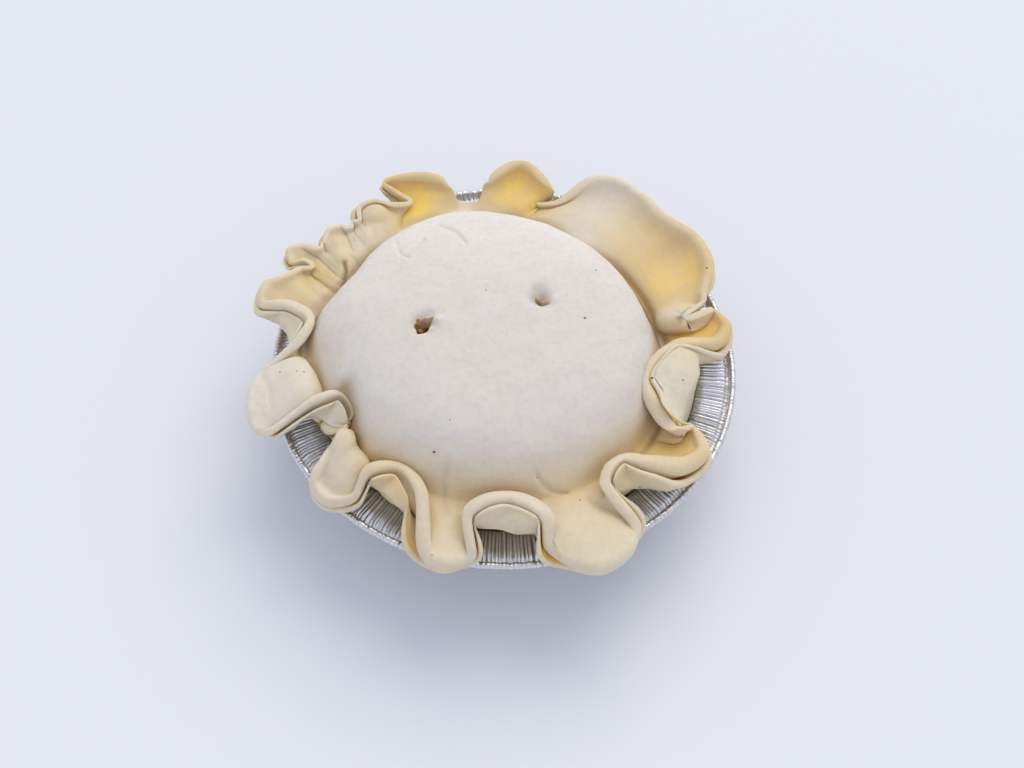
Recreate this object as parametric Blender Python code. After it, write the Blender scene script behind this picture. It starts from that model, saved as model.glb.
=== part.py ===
"""A small unbaked savoury pie in its foil tin.

Metres, +Z up. The origin is the centre of the tin's base, on the surface that the tin stands on.
Bearings are degrees round the pie, from +X towards +Y. Both sheets of dough are drawn flat, as the
cross-section of a rolled-out round, spun, and then draped: each point of the flat round moves to
where that point of the dough lies.
"""

import math

import bmesh
import bpy
import numpy as np

# The tin
RIM_HEIGHT = 0.030
BEAD_OUTER_RADIUS = 0.076
BEAD_RADIUS = 0.0011
BEAD_CORNERS = (-140, -85, -30, 30, 85, 140)
FLANGE_INNER_RADIUS = 0.0632
BASE_RADIUS = 0.0500
BASE_CORNER = 0.0030
BASE_BEVEL = 0.3
FOIL = 0.0004
TIN_SIDES = 64

# The dough, the clear gaps that its solids keep, and the filling
LID_THICK = 0.0041
CRUST_THICK = 0.0029
LINING_THICK = 0.0040
GAP = 0.0003
FILLING_GAP = 0.0006
FILLING_SIDES = 44
LINING_STEP = 0.0005
CORNER_STEP = 0.0002
CORNER_DROP = 0.0009

# How high the dough's underside stays over the rim, on the flat of the flange and over the bead
FLANGE_FLAT_TO = 0.0695
BEAD_FROM = 0.0730
RIM_CLEAR = 0.0006
BEAD_CLEAR = 0.0017

# The dome of the lid, measured on the middle of the sheet. It isn't quite round: its radius waves twice
# and three times round. Towards the back its foot lies higher and its shoulder is crisper.
DOME_X, DOME_Y = -0.0049, -0.0042
DOME_RADIUS = 0.0552
DOME_WAVES = ((2, 0.00028, -0.00124), (3, 0.00019, -0.00089))
DOME_BULGES = ((150, 12, -0.0015), (176, 13, 0.0042))
DOME_RISE = 0.0183
DOME_CROWN = 0.20
DOME_SHOULDER, BACK_SHOULDER = 9.0, 13.0
DOME_SOFTNESS, BACK_SOFTNESS = 2.0, 1.5
VALLEY_HEIGHT = RIM_HEIGHT + 0.0070
BACK_LIFT = 0.0020
BACK_LIFT_FROM = 8
FRONT_END, BACK_START = -0.2, 0.8

# The frill: the free edge of the lid winds out and in. Each turn of it has a bearing (degrees),
# a reach from the tin's axis, a height above the rim, a breadth across the turn, a depth from the
# turn's crest back to its shoulders, a slant away from straight out or in (degrees), and a lean of
# the sheet at its edge (degrees: 0 lies flat outwards, 90 stands up, over 90 leans over the dome).
OUT, IN = 1, -1
TURNS = (
    # way, bearing, reach, height, breadth, depth, slant, lean
    (OUT, 7.1, 0.0723, 0.0110, 0.0139, 0.0039, -5, 65),
    (IN, 10.0, 0.0594, 0.0135, 0.0030, 0.0085, 26, 95),
    (OUT, 25.8, 0.0745, 0.0135, 0.0235, 0.0034, -21, 60),
    (IN, 45.5, 0.0730, 0.0150, 0.0140, 0.0011, -3, 60),
    (OUT, 60.6, 0.0762, 0.0155, 0.0180, 0.0032, 8, 60),
    (IN, 81.5, 0.0600, 0.0120, 0.0042, 0.0070, -60, 85),
    (OUT, 87.5, 0.0722, 0.0165, 0.0200, 0.0070, -1, 80),
    (IN, 102.5, 0.0640, 0.0065, 0.0100, 0.0010, 0, 20),
    (OUT, 117.5, 0.0728, 0.0165, 0.0200, 0.0021, -23, 85),
    (IN, 122.5, 0.0650, 0.0150, 0.0050, 0.0050, 45, 95),
    (OUT, 134.6, 0.0731, 0.0135, 0.0091, 0.0025, 17, 70),
    (IN, 140.3, 0.0700, 0.0130, 0.0030, 0.0010, 0, 85),
    (OUT, 145.5, 0.0746, 0.0125, 0.0095, 0.0022, 0, 65),
    (IN, 151.0, 0.0725, 0.0125, 0.0030, 0.0010, -20, 80),
    (OUT, 155.4, 0.0812, 0.0110, 0.0075, 0.0031, 5, 35),
    (IN, 157.5, 0.0710, 0.0120, 0.0030, 0.0030, 10, 95),
    (OUT, 167.6, 0.0805, 0.0130, 0.0127, 0.0030, -16, 55),
    (IN, 177.4, 0.0632, 0.0150, 0.0130, 0.0045, 22, 110),
    (OUT, 197.4, 0.0815, 0.0085, 0.0241, 0.0040, -16, 0),
    (IN, 207.5, 0.0563, 0.0150, 0.0120, 0.0043, 44, 100),
    (OUT, 218.9, 0.0655, 0.0110, 0.0130, 0.0000, -62, 10),
    (OUT, 229.4, 0.0775, 0.0080, 0.0123, 0.0036, 20, 30),
    (IN, 239.3, 0.0590, 0.0140, 0.0150, 0.0040, 13, 100),
    (OUT, 259.7, 0.0790, 0.0070, 0.0115, 0.0022, 8, 5),
    (IN, 272.4, 0.0605, 0.0150, 0.0200, 0.0045, -3, 110),
    (OUT, 291.0, 0.0826, 0.0072, 0.0255, 0.0080, -10, 0),
    (IN, 308.5, 0.0585, 0.0150, 0.0130, 0.0040, -15, 110),
    (OUT, 328.5, 0.0730, 0.0095, 0.0140, 0.0045, 20, 60),
    (IN, 338.0, 0.0476, 0.0155, 0.0300, 0.0090, 20, 135),
)

# The same turns again: how steeply the sheet leaves the dome's foot (degrees), half the lid's
# thickness at its edge, how far the lower sheet stops short of that edge, and how far off it stands
TURN_EDGES = (
    # climb, half thickness, short by, apart by
    (25, 0.0024, 0.0015, 0.0000),
    (60, 0.0028, 0.0040, 0.0000),
    (45, 0.0021, 0.0020, 0.0000),
    (45, 0.0021, 0.0020, 0.0000),
    (45, 0.0021, 0.0020, 0.0000),
    (45, 0.0023, 0.0020, 0.0000),
    (45, 0.0021, 0.0020, 0.0000),
    (15, 0.0018, 0.0005, 0.0003),
    (45, 0.0022, 0.0020, 0.0000),
    (45, 0.0022, 0.0040, 0.0000),
    (60, 0.0034, 0.0010, 0.0000),
    (60, 0.0034, 0.0020, 0.0000),
    (60, 0.0034, 0.0010, 0.0000),
    (60, 0.0032, 0.0020, 0.0000),
    (50, 0.0026, 0.0005, 0.0008),
    (45, 0.0025, 0.0030, 0.0000),
    (45, 0.0021, 0.0010, 0.0000),
    (5, 0.0030, 0.0015, 0.0000),
    (85, 0.0024, 0.0015, 0.0003),
    (8, 0.0034, 0.0008, 0.0010),
    (100, 0.0030, 0.0020, 0.0003),
    (75, 0.0034, 0.0008, 0.0003),
    (5, 0.0037, 0.0022, 0.0008),
    (0, 0.0032, 0.0008, 0.0003),
    (10, 0.0038, 0.0022, 0.0003),
    (0, 0.0030, 0.0012, 0.0003),
    (10, 0.0036, 0.0022, 0.0005),
    (15, 0.0030, 0.0010, 0.0000),
    (10, 0.0034, -0.0028, 0.0000),
)

# What each point of the edge carries after its place
LEAN, CLIMB, HALF, SHORT, APART = 3, 4, 5, 6, 7

COLUMNS = 176
STEPS_PER_SPAN = 24
TURN_PACE = 0.8

# How the sheet leaves the dome's foot and arrives at the free edge: share of the span, and the least length
FOOT_BLEND = 0.020
FOOT_RUN, FOOT_RUN_LEAST = 0.45, 0.0070
EDGE_RUN, EDGE_RUN_LEAST = 0.40, 0.0060

# Where a fold turns back over the dome, the sheet first runs out this far, so that it rests on the flange
FOLD_REACH = 0.0740
UPRIGHT, FOLD_SWING = 60, 45
RUN_BLEND = 0.007

# Where the sheet climbs straight from the dome's foot: how far it first runs at a gentle climb and at an
# upright one (degrees, metres)
GENTLE, GENTLE_RUN = 25, 0.0042
STEEP, STEEP_RUN = 90, 0.0125

# The lid swells towards its edge between these shares of the sheet
SWELL_FROM, SWELL_TO = 1.10, 1.75

# Where the rows of points lie across the sheet: shares of the dome's radius, then of the frill's width
DOME_ROWS = (0.0, 0.50, 0.78, 0.92, 1.0)
TOP_ROW_ONLY = 1
FRILL_ROWS = (0.25, 0.5, 0.75)
CRUST_END_DRAWN = 0.9
FRILL_WIDTH = 0.025
NUDGE = 0.02

# How far a fold may use up the room beside the sheet, how much thinner than drawn it may get, and how
# fast the thickness may change along the sheet
ROOM_SHARE = 0.70
THINNEST = 0.12
TAPER = 0.5

# The lower sheet stops at least this far short of the lid's edge
SHORT_LEAST = 0.0008
FOOT_CLEAR = 0.0010
EDGE_ROUNDING = 0.4

# The poked steam holes: place, radius at the top, radius at the bottom, stretch and turn of the slit
VENTS = (
    ("vent_left_cutter", -0.0251, -0.0067, 0.0025, 0.0017, 1.35, 75),
    ("vent_right_cutter", 0.0110, 0.0051, 0.0009, 0.0006, 1.8, 150),
)
VENT_SIDES = 12
VENT_LENGTH = 0.016

SMALLEST = 1e-6
WELD = 1e-7
SHARP_ANGLE = 40

# Colours in linear RGB
FOIL_COLOUR = (0.78, 0.78, 0.79)
LID_COLOUR = (0.72, 0.64, 0.52)
CRUST_COLOUR = (0.70, 0.58, 0.36)
FILLING_COLOUR = (0.30, 0.13, 0.03)


def direction(bearing):
    """Unit vectors in the plan, for bearings in radians."""
    return np.stack([np.cos(bearing), np.sin(bearing)], axis=-1)


def turn_knots():
    """Three points for each turn of the frill's edge: shoulder, crest, shoulder. Each is x, y, z, lean, and
    what TURN_EDGES gives."""
    knots = []
    for turn, more in zip(TURNS, TURN_EDGES):
        way, bearing, reach, height, breadth, depth, slant, lean = turn
        crest = reach * direction(math.radians(bearing))
        axis = way * direction(math.radians(bearing + slant))
        across = way * np.array([-axis[1], axis[0]])
        for side in (-1, 0, 1):
            plan = crest - abs(side) * depth * axis + side * breadth / 2 * across
            knots.append((*plan, RIM_HEIGHT + height, lean, *more))
    return np.array(knots)


def smooth_loop(knots):
    """Many points along the smooth closed curve through the knots (centripetal Catmull-Rom)."""
    points = [np.roll(knots, shift, axis=0) for shift in (1, 0, -1, -2)]
    times = [np.zeros(len(knots))]
    for start, end in zip(points, points[1:]):
        times.append(times[-1] + np.sqrt(np.linalg.norm((end - start)[:, :3], axis=1)))
    share = np.arange(STEPS_PER_SPAN) / STEPS_PER_SPAN
    time = times[1][:, None] + (times[2] - times[1])[:, None] * share

    def between(first, second, i, j):
        weight = (time - times[i][:, None]) / (times[j] - times[i])[:, None]
        return first * (1 - weight)[..., None] + second * weight[..., None]

    p0, p1, p2, p3 = (point[:, None, :] for point in points)
    a, b, c = between(p0, p1, 0, 1), between(p1, p2, 1, 2), between(p2, p3, 2, 3)
    curve = between(between(a, b, 0, 2), between(b, c, 1, 3), 1, 2)
    return curve.reshape(-1, knots.shape[1])


def frill_edge(count):
    """The lid's free edge at count columns, closer together where it turns: x, y, z, lean, and what
    TURN_EDGES gives."""
    curve = smooth_loop(turn_knots())
    step = np.roll(curve, -1, axis=0) - curve
    length = np.linalg.norm(step[:, :3], axis=1)
    heading = np.unwrap(np.arctan2(step[:, 1], step[:, 0]))
    turning = np.abs(np.diff(heading, append=heading[-1]))
    pace = length / length.sum() + TURN_PACE * turning / turning.sum()
    reached = np.concatenate([[0], np.cumsum(pace)]) / pace.sum()
    closed = np.vstack([curve, curve[:1]])
    columns = np.arange(count) / count
    return np.stack([np.interp(columns, reached, values) for values in closed.T], axis=1)


def smooth_round(values, width):
    """A list that closes on itself, averaged over a width given as a share of the whole."""
    offset = np.arange(len(values)) / len(values)
    offset = np.minimum(offset, 1 - offset)
    weight = np.exp(-0.5 * (offset / width) ** 2)
    spectrum = np.fft.rfft(weight / weight.sum()) * np.fft.rfft(values)
    return np.fft.irfft(spectrum, len(values))


def foot_bearings(edge):
    """The bearing at which each column leaves the dome: the edge's own, with its back-turns evened out."""
    bearing = np.unwrap(np.arctan2(edge[:, 1], edge[:, 0]))
    even = bearing[0] + 2 * math.pi * np.arange(len(edge)) / len(edge)
    return even + smooth_round(bearing - even, FOOT_BLEND)


def ease(value, low, high):
    """Goes smoothly from 0 at low to 1 at high."""
    share = np.clip((value - low) / (high - low), 0, 1)
    return share * share * (3 - 2 * share)


def dome_height(share, back=0.0):
    """Height of the lid's middle at a share of the way from the dome's centre to its foot."""
    crown = 1 - DOME_CROWN * share**2
    shoulder = DOME_SHOULDER + (BACK_SHOULDER - DOME_SHOULDER) * back
    softness = DOME_SOFTNESS + (BACK_SOFTNESS - DOME_SOFTNESS) * back
    lift = BACK_LIFT * back * share**BACK_LIFT_FROM
    return VALLEY_HEIGHT + lift + DOME_RISE * crown * (1 - share**shoulder) ** softness


def dome_radius(bearing):
    """The radius of the dome's foot at a bearing."""
    radius = DOME_RADIUS
    for times, along, across in DOME_WAVES:
        radius = radius + along * np.cos(times * bearing) + across * np.sin(times * bearing)
    for centre, width, rise in DOME_BULGES:
        away = np.remainder(np.degrees(bearing) - centre + 180, 360) - 180
        radius = radius + rise * np.exp(-((away / width) ** 2))
    return radius


def dome_points(bearing, share):
    """The middle of the lid on the dome, for bearings (columns) and a share of the radius."""
    back = ease(np.sin(bearing), FRONT_END, BACK_START)
    radius = dome_radius(bearing) * share
    plan = np.array([DOME_X, DOME_Y]) + radius[:, None] * direction(bearing)
    return np.column_stack([plan, dome_height(share, back)])


def frill_points(edge, bearing, share):
    """The middle of the lid on the frill, at a share of the way from its foot to its free edge."""
    foot = dome_points(bearing, 1.0)
    up = np.array([0, 0, 1.0])
    out = np.column_stack([direction(bearing), np.zeros(len(bearing))])
    span = np.linalg.norm(edge[:, :3] - foot, axis=1)[:, None]
    folded = np.clip((edge[:, LEAN] - UPRIGHT) / FOLD_SWING, 0, 1)
    run = folded * (FOLD_REACH - np.linalg.norm(foot[:, :2], axis=1))
    foot_run = np.maximum(np.maximum(FOOT_RUN * span, FOOT_RUN_LEAST), run[:, None])
    climb = np.clip(smooth_round(edge[:, CLIMB], RUN_BLEND), 0, None)[:, None]
    climb_run = GENTLE_RUN + (STEEP_RUN - GENTLE_RUN) * np.clip((climb - GENTLE) / (STEEP - GENTLE), 0, 1)
    foot_run = foot_run + (climb_run - foot_run) * ease(climb, 0, GENTLE)
    foot_run = smooth_round(foot_run[:, 0], RUN_BLEND)[:, None]
    climb = np.radians(climb)
    first = foot + (np.cos(climb) * out + np.sin(climb) * up) * foot_run
    lean = np.radians(edge[:, LEAN])[:, None]
    flat_out = edge[:, :2] / np.linalg.norm(edge[:, :2], axis=1)[:, None]
    flat_out = np.column_stack([flat_out, np.zeros(len(edge))])
    end_way = np.cos(lean) * flat_out + np.sin(lean) * up
    second = edge[:, :3] - end_way * np.maximum(EDGE_RUN * span, EDGE_RUN_LEAST)
    share = np.reshape(share, (-1, 1))
    rest = 1 - share
    return (
        rest**3 * foot
        + 3 * rest**2 * share * first
        + 3 * rest * share**2 * second
        + share**3 * edge[:, :3]
    )


def unit(vectors):
    return vectors / np.linalg.norm(vectors, axis=-1, keepdims=True)


def crust_end(edge, bearing):
    """The share of the frill at which the lower sheet ends, for each column."""
    span = np.linalg.norm(edge[:, :3] - dome_points(bearing, 1.0), axis=1)
    return 1 - np.maximum(edge[:, SHORT], SHORT_LEAST) / span


def lid_half(edge, bearing):
    """Half the lid's drawn thickness, as rows (dome, then frill) of columns."""
    shares = [np.full(len(edge), share) for share in DOME_ROWS]
    shares += [np.full(len(edge), 1 + share) for share in FRILL_ROWS]
    shares += [1 + crust_end(edge, bearing), np.full(len(edge), 2.0)]
    thicker = edge[:, HALF] - LID_THICK / 2
    return LID_THICK / 2 + thicker * ease(np.array(shares), SWELL_FROM, SWELL_TO)


def lid_middle(edge, bearing):
    """The middle of the lid and its way outwards, as rows (dome, then frill) of columns."""
    middle, outward = [], []
    for share in DOME_ROWS:
        near, far = max(share - NUDGE, 0.0), min(share + NUDGE, 1.0)
        middle.append(dome_points(bearing, share))
        outward.append(dome_points(bearing, far) - dome_points(bearing, near))
    outward[-1] = unit(outward[-1]) + unit(frill_points(edge, bearing, NUDGE) - middle[-1])
    for share in (*FRILL_ROWS, crust_end(edge, bearing)[:, None], 1.0):
        near, far = share - NUDGE, np.minimum(share + NUDGE, 1.0)
        middle.append(frill_points(edge, bearing, share))
        outward.append(frill_points(edge, bearing, far) - frill_points(edge, bearing, near))
    return np.array(middle), unit(np.array(outward))


def sheet_normals(middle, outward):
    """The upward side of the sheet at each point."""
    around = np.roll(middle, -1, axis=1) - np.roll(middle, 1, axis=1)
    around[0] = around[1]
    return unit(np.cross(outward, around))


def room_beside(middle, normal):
    """Radius of the largest ball that rests on each point, on the side its normal gives."""
    points, ways = middle.reshape(-1, 3), normal.reshape(-1, 3)
    beside = 0.5 * (middle + np.roll(middle, 1, axis=1))
    between = 0.5 * (middle[1:] + middle[:-1])
    sheet = np.concatenate([points, beside.reshape(-1, 3), between.reshape(-1, 3)])
    room = np.empty(len(points))
    for i, (point, way) in enumerate(zip(points, ways)):
        away = sheet - point
        height = away @ way
        facing = height > SMALLEST
        room[i] = (np.sum(away[facing] ** 2, axis=1) / (2 * height[facing])).min(initial=1.0)
    return room.reshape(middle.shape[:2])


def tapered(depth, middle):
    """The depths lowered where needed, so that they change gently along the sheet."""
    points, flat = middle.reshape(-1, 3), depth.reshape(-1)
    lowered = [(flat + TAPER * np.linalg.norm(points - point, axis=1)).min() for point in points]
    return np.reshape(lowered, depth.shape)


def split_quads(bm, spot):
    """Cut each quad from its nearer corner to the one across, so that sheets with shared rows stay apart."""
    for face in [face for face in bm.faces if len(face.verts) == 4]:
        low, high = sorted({spot[vert][1] for vert in face.verts})
        first = low if high - low == 1 else high
        start = min((v for v in face.verts if spot[v][1] == first), key=lambda v: spot[v][0])
        corners = list(face.verts)
        across = corners[(corners.index(start) + 2) % 4]
        bmesh.utils.face_split(face, start, across)


def drape(name, profile, places):
    """Spin a cross-section drawn flat (distance out, height) and move each point to its place."""
    columns = places.shape[1]
    bm = bmesh.new()
    points = [bm.verts.new((x, 0.0, z)) for x, z in profile]
    lines = [bm.edges.new(pair) for pair in zip(points, points[1:])]
    bmesh.ops.spin(
        bm,
        geom=points + lines,
        cent=(0, 0, 0),
        axis=(0, 0, 1),
        angle=2 * math.pi,
        steps=columns,
        use_merge=True,
    )
    bmesh.ops.remove_doubles(bm, verts=bm.verts, dist=WELD)
    drawn = np.array(profile)
    spot = {}
    for vert in bm.verts:
        out = math.hypot(vert.co.x, vert.co.y)
        row = np.argmin(np.hypot(drawn[:, 0] - out, drawn[:, 1] - vert.co.z))
        column = round(math.atan2(vert.co.y, vert.co.x) / (2 * math.pi) * columns) % columns
        spot[vert] = (out, column)
        vert.co = places[row, column]
    split_quads(bm, spot)
    bmesh.ops.recalc_face_normals(bm, faces=bm.faces)
    mesh = bpy.data.meshes.new(name)
    bm.to_mesh(mesh)
    bm.free()
    mesh.shade_smooth()
    mesh.set_sharp_from_angle(angle=math.radians(SHARP_ANGLE))
    thing = bpy.data.objects.new(name, mesh)
    bpy.context.collection.objects.link(thing)
    return thing


def material(name, colour, roughness, metallic=0.0):
    made = bpy.data.materials.new(name)
    made.use_nodes = True
    shader = made.node_tree.nodes["Principled BSDF"]
    shader.inputs["Base Color"].default_value = (*colour, 1)
    shader.inputs["Roughness"].default_value = roughness
    shader.inputs["Metallic"].default_value = metallic
    return made


def ring(radius, height, bearing):
    """A level ring of points about the tin's axis."""
    return np.column_stack([radius * direction(bearing), np.full(len(bearing), height)])


def build_tin():
    """The foil tin: flat base, sloping wall, flat flange and a rolled bead round the edge."""
    bevel = BASE_BEVEL * BASE_CORNER
    wall = [
        (BASE_RADIUS - BASE_CORNER, 0.0),
        (BASE_RADIUS - bevel, bevel),
        (BASE_RADIUS, BASE_CORNER),
        (FLANGE_INNER_RADIUS, RIM_HEIGHT - FOIL),
    ]
    bead_centre = BEAD_OUTER_RADIUS - BEAD_RADIUS
    bead = [
        (bead_centre + BEAD_RADIUS * math.cos(turn), RIM_HEIGHT + BEAD_RADIUS * math.sin(turn))
        for turn in np.radians(BEAD_CORNERS)
    ]
    inside = [(x - (FOIL if z > 0 else 0), z + FOIL) for x, z in reversed(wall)]
    profile = [(0.0, 0.0), *wall, *bead, *inside, (0.0, FOIL)]
    bearing = 2 * math.pi * np.arange(TIN_SIDES) / TIN_SIDES
    tin = drape("foil_tin", profile, np.array([ring(x, z, bearing) for x, z in profile]))
    tin.data.materials.append(material("foil", FOIL_COLOUR, 0.28, metallic=1.0))
    return tin


def wall_radius(height):
    """Radius of the inside of the tin's wall at a height."""
    rise = (height - BASE_CORNER) / (RIM_HEIGHT - FOIL - BASE_CORNER)
    return BASE_RADIUS - FOIL + rise * (FLANGE_INNER_RADIUS - BASE_RADIUS)


def build_lid(middle, normal, outward, above, below):
    """The upper sheet of dough: the dome and the inner layer of the frill."""
    half = LID_THICK / 2
    flat = [DOME_RADIUS * share for share in DOME_ROWS]
    flat += [DOME_RADIUS + FRILL_WIDTH * share for share in (*FRILL_ROWS, CRUST_END_DRAWN, 1.0)]
    top = middle + normal * above[..., None]
    under = middle - normal * below[..., None]
    tip = middle[-1] + outward[-1] * np.minimum(above, below)[-1][:, None]
    profile = [(x, half) for x in flat] + [(flat[-1] + half, 0.0)]
    profile += [(x, -half) for x in reversed(flat) if x != flat[TOP_ROW_ONLY]]
    under_rows = [row for i, row in reversed(list(enumerate(under))) if i != TOP_ROW_ONLY]
    lid = drape("lid", profile, np.array([*top, tip, *under_rows]))
    lid.data.materials.append(material("lid_dough", LID_COLOUR, 0.75))
    return lid


def clear_of_tin(points):
    """Lift points that would sink into the flange or the bead."""
    reach = np.hypot(points[:, 0], points[:, 1])
    on_bead = np.clip((reach - FLANGE_FLAT_TO) / (BEAD_FROM - FLANGE_FLAT_TO), 0, 1)
    lowest = RIM_HEIGHT + RIM_CLEAR + on_bead * (BEAD_CLEAR - RIM_CLEAR)
    return np.column_stack([points[:, :2], np.maximum(points[:, 2], lowest)])


def build_crust(middle, normal, outward, bearing, below, below_crust):
    """The lower sheet of dough: it lines the tin, and its edge is the outer layer of the frill."""
    inner = (middle - normal * (below + GAP)[..., None])[len(DOME_ROWS) : -1]
    outer = (middle - normal * below_crust[..., None])[len(DOME_ROWS) : -1]
    rounding = outward[-2] * EDGE_ROUNDING * (below_crust - below)[-2][:, None]
    tip = 0.5 * (inner[-1] + outer[-1]) + rounding
    foot_row = len(DOME_ROWS) - 1
    under_foot = (middle - normal * (below + GAP)[..., None])[foot_row]
    shoulder = wall_radius(RIM_HEIGHT) - GAP
    base = BASE_RADIUS - FOIL - GAP
    floor = FOIL + GAP
    lining_top = floor + LINING_THICK
    inside = [
        (0.0, lining_top),
        (BASE_RADIUS - LINING_THICK, lining_top),
        (shoulder - LINING_THICK, RIM_HEIGHT + LINING_STEP),
    ]
    outside = [
        (shoulder + CORNER_STEP, RIM_HEIGHT + RIM_CLEAR),
        (shoulder - CORNER_DROP, RIM_HEIGHT - CORNER_DROP),
        (base - LINING_STEP, BASE_CORNER),
        (base - BASE_CORNER, floor),
        (0.0, floor),
    ]
    # Where the lid's foot lies outside the lining, the lower sheet first passes under it
    halfway = 0.5 * (inner[0] + ring(*inside[-1], bearing))
    beyond = np.hypot(under_foot[:, 0], under_foot[:, 1]) - inside[-1][0]
    passes = ease(beyond, 0.0, FOOT_CLEAR)[:, None]
    under_foot = under_foot * passes + halfway * (1 - passes)
    flat = [shoulder + FRILL_WIDTH * share for share in (*FRILL_ROWS, CRUST_END_DRAWN)]
    above = [(x, RIM_HEIGHT + LINING_THICK) for x in flat]
    end = (flat[-1] + EDGE_ROUNDING * CRUST_THICK, RIM_HEIGHT + LINING_THICK / 2)
    under = [(x, RIM_HEIGHT + RIM_CLEAR) for x in flat[:0:-1]]
    step = (0.5 * (inside[-1][0] + flat[0]), RIM_HEIGHT + LINING_THICK)
    profile = [*inside, step, *above, end, *under, *outside]
    places = [ring(x, z, bearing) for x, z in inside]
    places += [under_foot, *inner, tip]
    places += [clear_of_tin(row) for row in outer[:0:-1]]
    places += [ring(x, z, bearing) for x, z in outside]
    crust = drape("bottom_crust", profile, np.array(places))
    crust.data.materials.append(material("crust_dough", CRUST_COLOUR, 0.8))
    return crust


def build_filling(middle, normal, bearing, below):
    """The filling: solid from the lining up to the underside of the dome."""
    some = slice(None, None, COLUMNS // FILLING_SIDES)
    roof = (middle - normal * (below + FILLING_GAP)[..., None])[: len(DOME_ROWS), some]
    bottom = FOIL + GAP + LINING_THICK + FILLING_GAP
    shoulder = wall_radius(RIM_HEIGHT) - GAP - LINING_THICK - 2 * FILLING_GAP
    reach = np.hypot(roof[-1, :, 0], roof[-1, :, 1])
    roof[-1, :, :2] *= np.minimum(1, (shoulder - FILLING_GAP) / reach)[:, None]
    sides = [
        (0.0, bottom),
        (BASE_RADIUS - LINING_THICK - 2 * FILLING_GAP, bottom),
        (shoulder, RIM_HEIGHT - LINING_STEP),
    ]
    kept = [i for i in reversed(range(len(DOME_ROWS))) if i != TOP_ROW_ONLY]
    drawn_roof = [(DOME_ROWS[i] * (shoulder - FILLING_GAP), dome_height(DOME_ROWS[i])) for i in kept]
    places = [ring(x, z, bearing[some]) for x, z in sides] + [roof[i] for i in kept]
    filling = drape("filling", [*sides, *drawn_roof], np.array(places))
    filling.data.materials.append(material("filling", FILLING_COLOUR, 0.5))
    return filling


def poke_vents(lid):
    """Two steam holes, poked through the dome with a narrow tool."""
    for name, x, y, top_radius, bottom_radius, stretch, turn in VENTS:
        away = np.array([x - DOME_X, y - DOME_Y])
        share = math.hypot(*away) / dome_radius(math.atan2(away[1], away[0]))
        bm = bmesh.new()
        bmesh.ops.create_cone(
            bm,
            cap_ends=True,
            segments=VENT_SIDES,
            radius1=bottom_radius,
            radius2=top_radius,
            depth=VENT_LENGTH,
        )
        bmesh.ops.scale(bm, vec=(stretch, 1, 1), verts=bm.verts)
        mesh = bpy.data.meshes.new(name)
        bm.to_mesh(mesh)
        bm.free()
        cutter = bpy.data.objects.new(name, mesh)
        cutter.location = (x, y, dome_height(share))
        cutter.rotation_euler = (0, 0, math.radians(turn))
        cutter.hide_render = True
        cutter.display_type = "WIRE"
        bpy.context.collection.objects.link(cutter)
        cut = lid.modifiers.new(name, "BOOLEAN")
        cut.operation = "DIFFERENCE"
        cut.solver = "EXACT"
        cut.object = cutter


def main():
    for thing in list(bpy.data.objects):
        bpy.data.objects.remove(thing, do_unlink=True)
    edge = frill_edge(COLUMNS)
    bearing = foot_bearings(edge)
    middle, outward = lid_middle(edge, bearing)
    normal = sheet_normals(middle, outward)
    half = lid_half(edge, bearing)
    above = tapered(np.minimum(half, ROOM_SHARE * room_beside(middle, normal)), middle)
    free = tapered(ROOM_SHARE * room_beside(middle, -normal) - GAP, middle)
    squeeze = np.clip(free / (half + CRUST_THICK), THINNEST, 1.0)
    below = half * squeeze
    below_crust = (half + CRUST_THICK) * squeeze + GAP

    build_tin()
    build_crust(middle, normal, outward, bearing, below, below_crust)
    build_filling(middle, normal, bearing, below)
    lid = build_lid(middle, normal, outward, above, below)
    poke_vents(lid)


main()
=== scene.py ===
"""An unbaked savoury pie in its crimped foil tin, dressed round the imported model.

Metres, +Z up, and the origin is the centre of the tin's base. Bearings are degrees round the pie,
from +X towards +Y. Both sheets of dough, and the foil, are drawn as a flat grid and then draped: each
point of the grid moves to where that point of the dough or the foil lies.
"""

import math

import bmesh
import bpy
import numpy as np
from mathutils import Matrix, Vector
from mathutils.bvhtree import BVHTree


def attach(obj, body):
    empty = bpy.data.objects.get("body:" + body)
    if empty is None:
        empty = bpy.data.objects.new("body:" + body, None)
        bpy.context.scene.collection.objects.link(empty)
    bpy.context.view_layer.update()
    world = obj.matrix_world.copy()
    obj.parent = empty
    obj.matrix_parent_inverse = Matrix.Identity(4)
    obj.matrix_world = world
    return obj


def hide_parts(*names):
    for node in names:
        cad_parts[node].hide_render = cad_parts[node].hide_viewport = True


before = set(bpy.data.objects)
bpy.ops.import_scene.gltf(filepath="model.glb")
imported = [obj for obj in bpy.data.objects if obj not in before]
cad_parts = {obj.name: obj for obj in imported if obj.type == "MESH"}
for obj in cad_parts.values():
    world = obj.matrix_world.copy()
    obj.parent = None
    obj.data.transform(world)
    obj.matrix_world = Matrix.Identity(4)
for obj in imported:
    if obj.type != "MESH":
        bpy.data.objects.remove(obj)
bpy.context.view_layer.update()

BODY = "root"

# The tin
RIM_HEIGHT = 0.030
BEAD_OUTER_RADIUS = 0.076
BEAD_RADIUS = 0.0011
FLANGE_INNER_RADIUS = 0.0632
BASE_RADIUS = 0.0500
BASE_CORNER = 0.0030
FOIL = 0.0004

# The dough, and the clear gaps between its sheets and the tin
LID_THICK = 0.0041
CRUST_THICK = 0.0029
LINING_THICK = 0.0040
GAP = 0.0003
LINING_STEP = 0.0005
CORNER_STEP = 0.0002
CORNER_DROP = 0.0009
FLANGE_FLAT_TO = 0.0695
BEAD_FROM = 0.0730
RIM_CLEAR = 0.0006
BEAD_CLEAR = 0.0017

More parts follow.
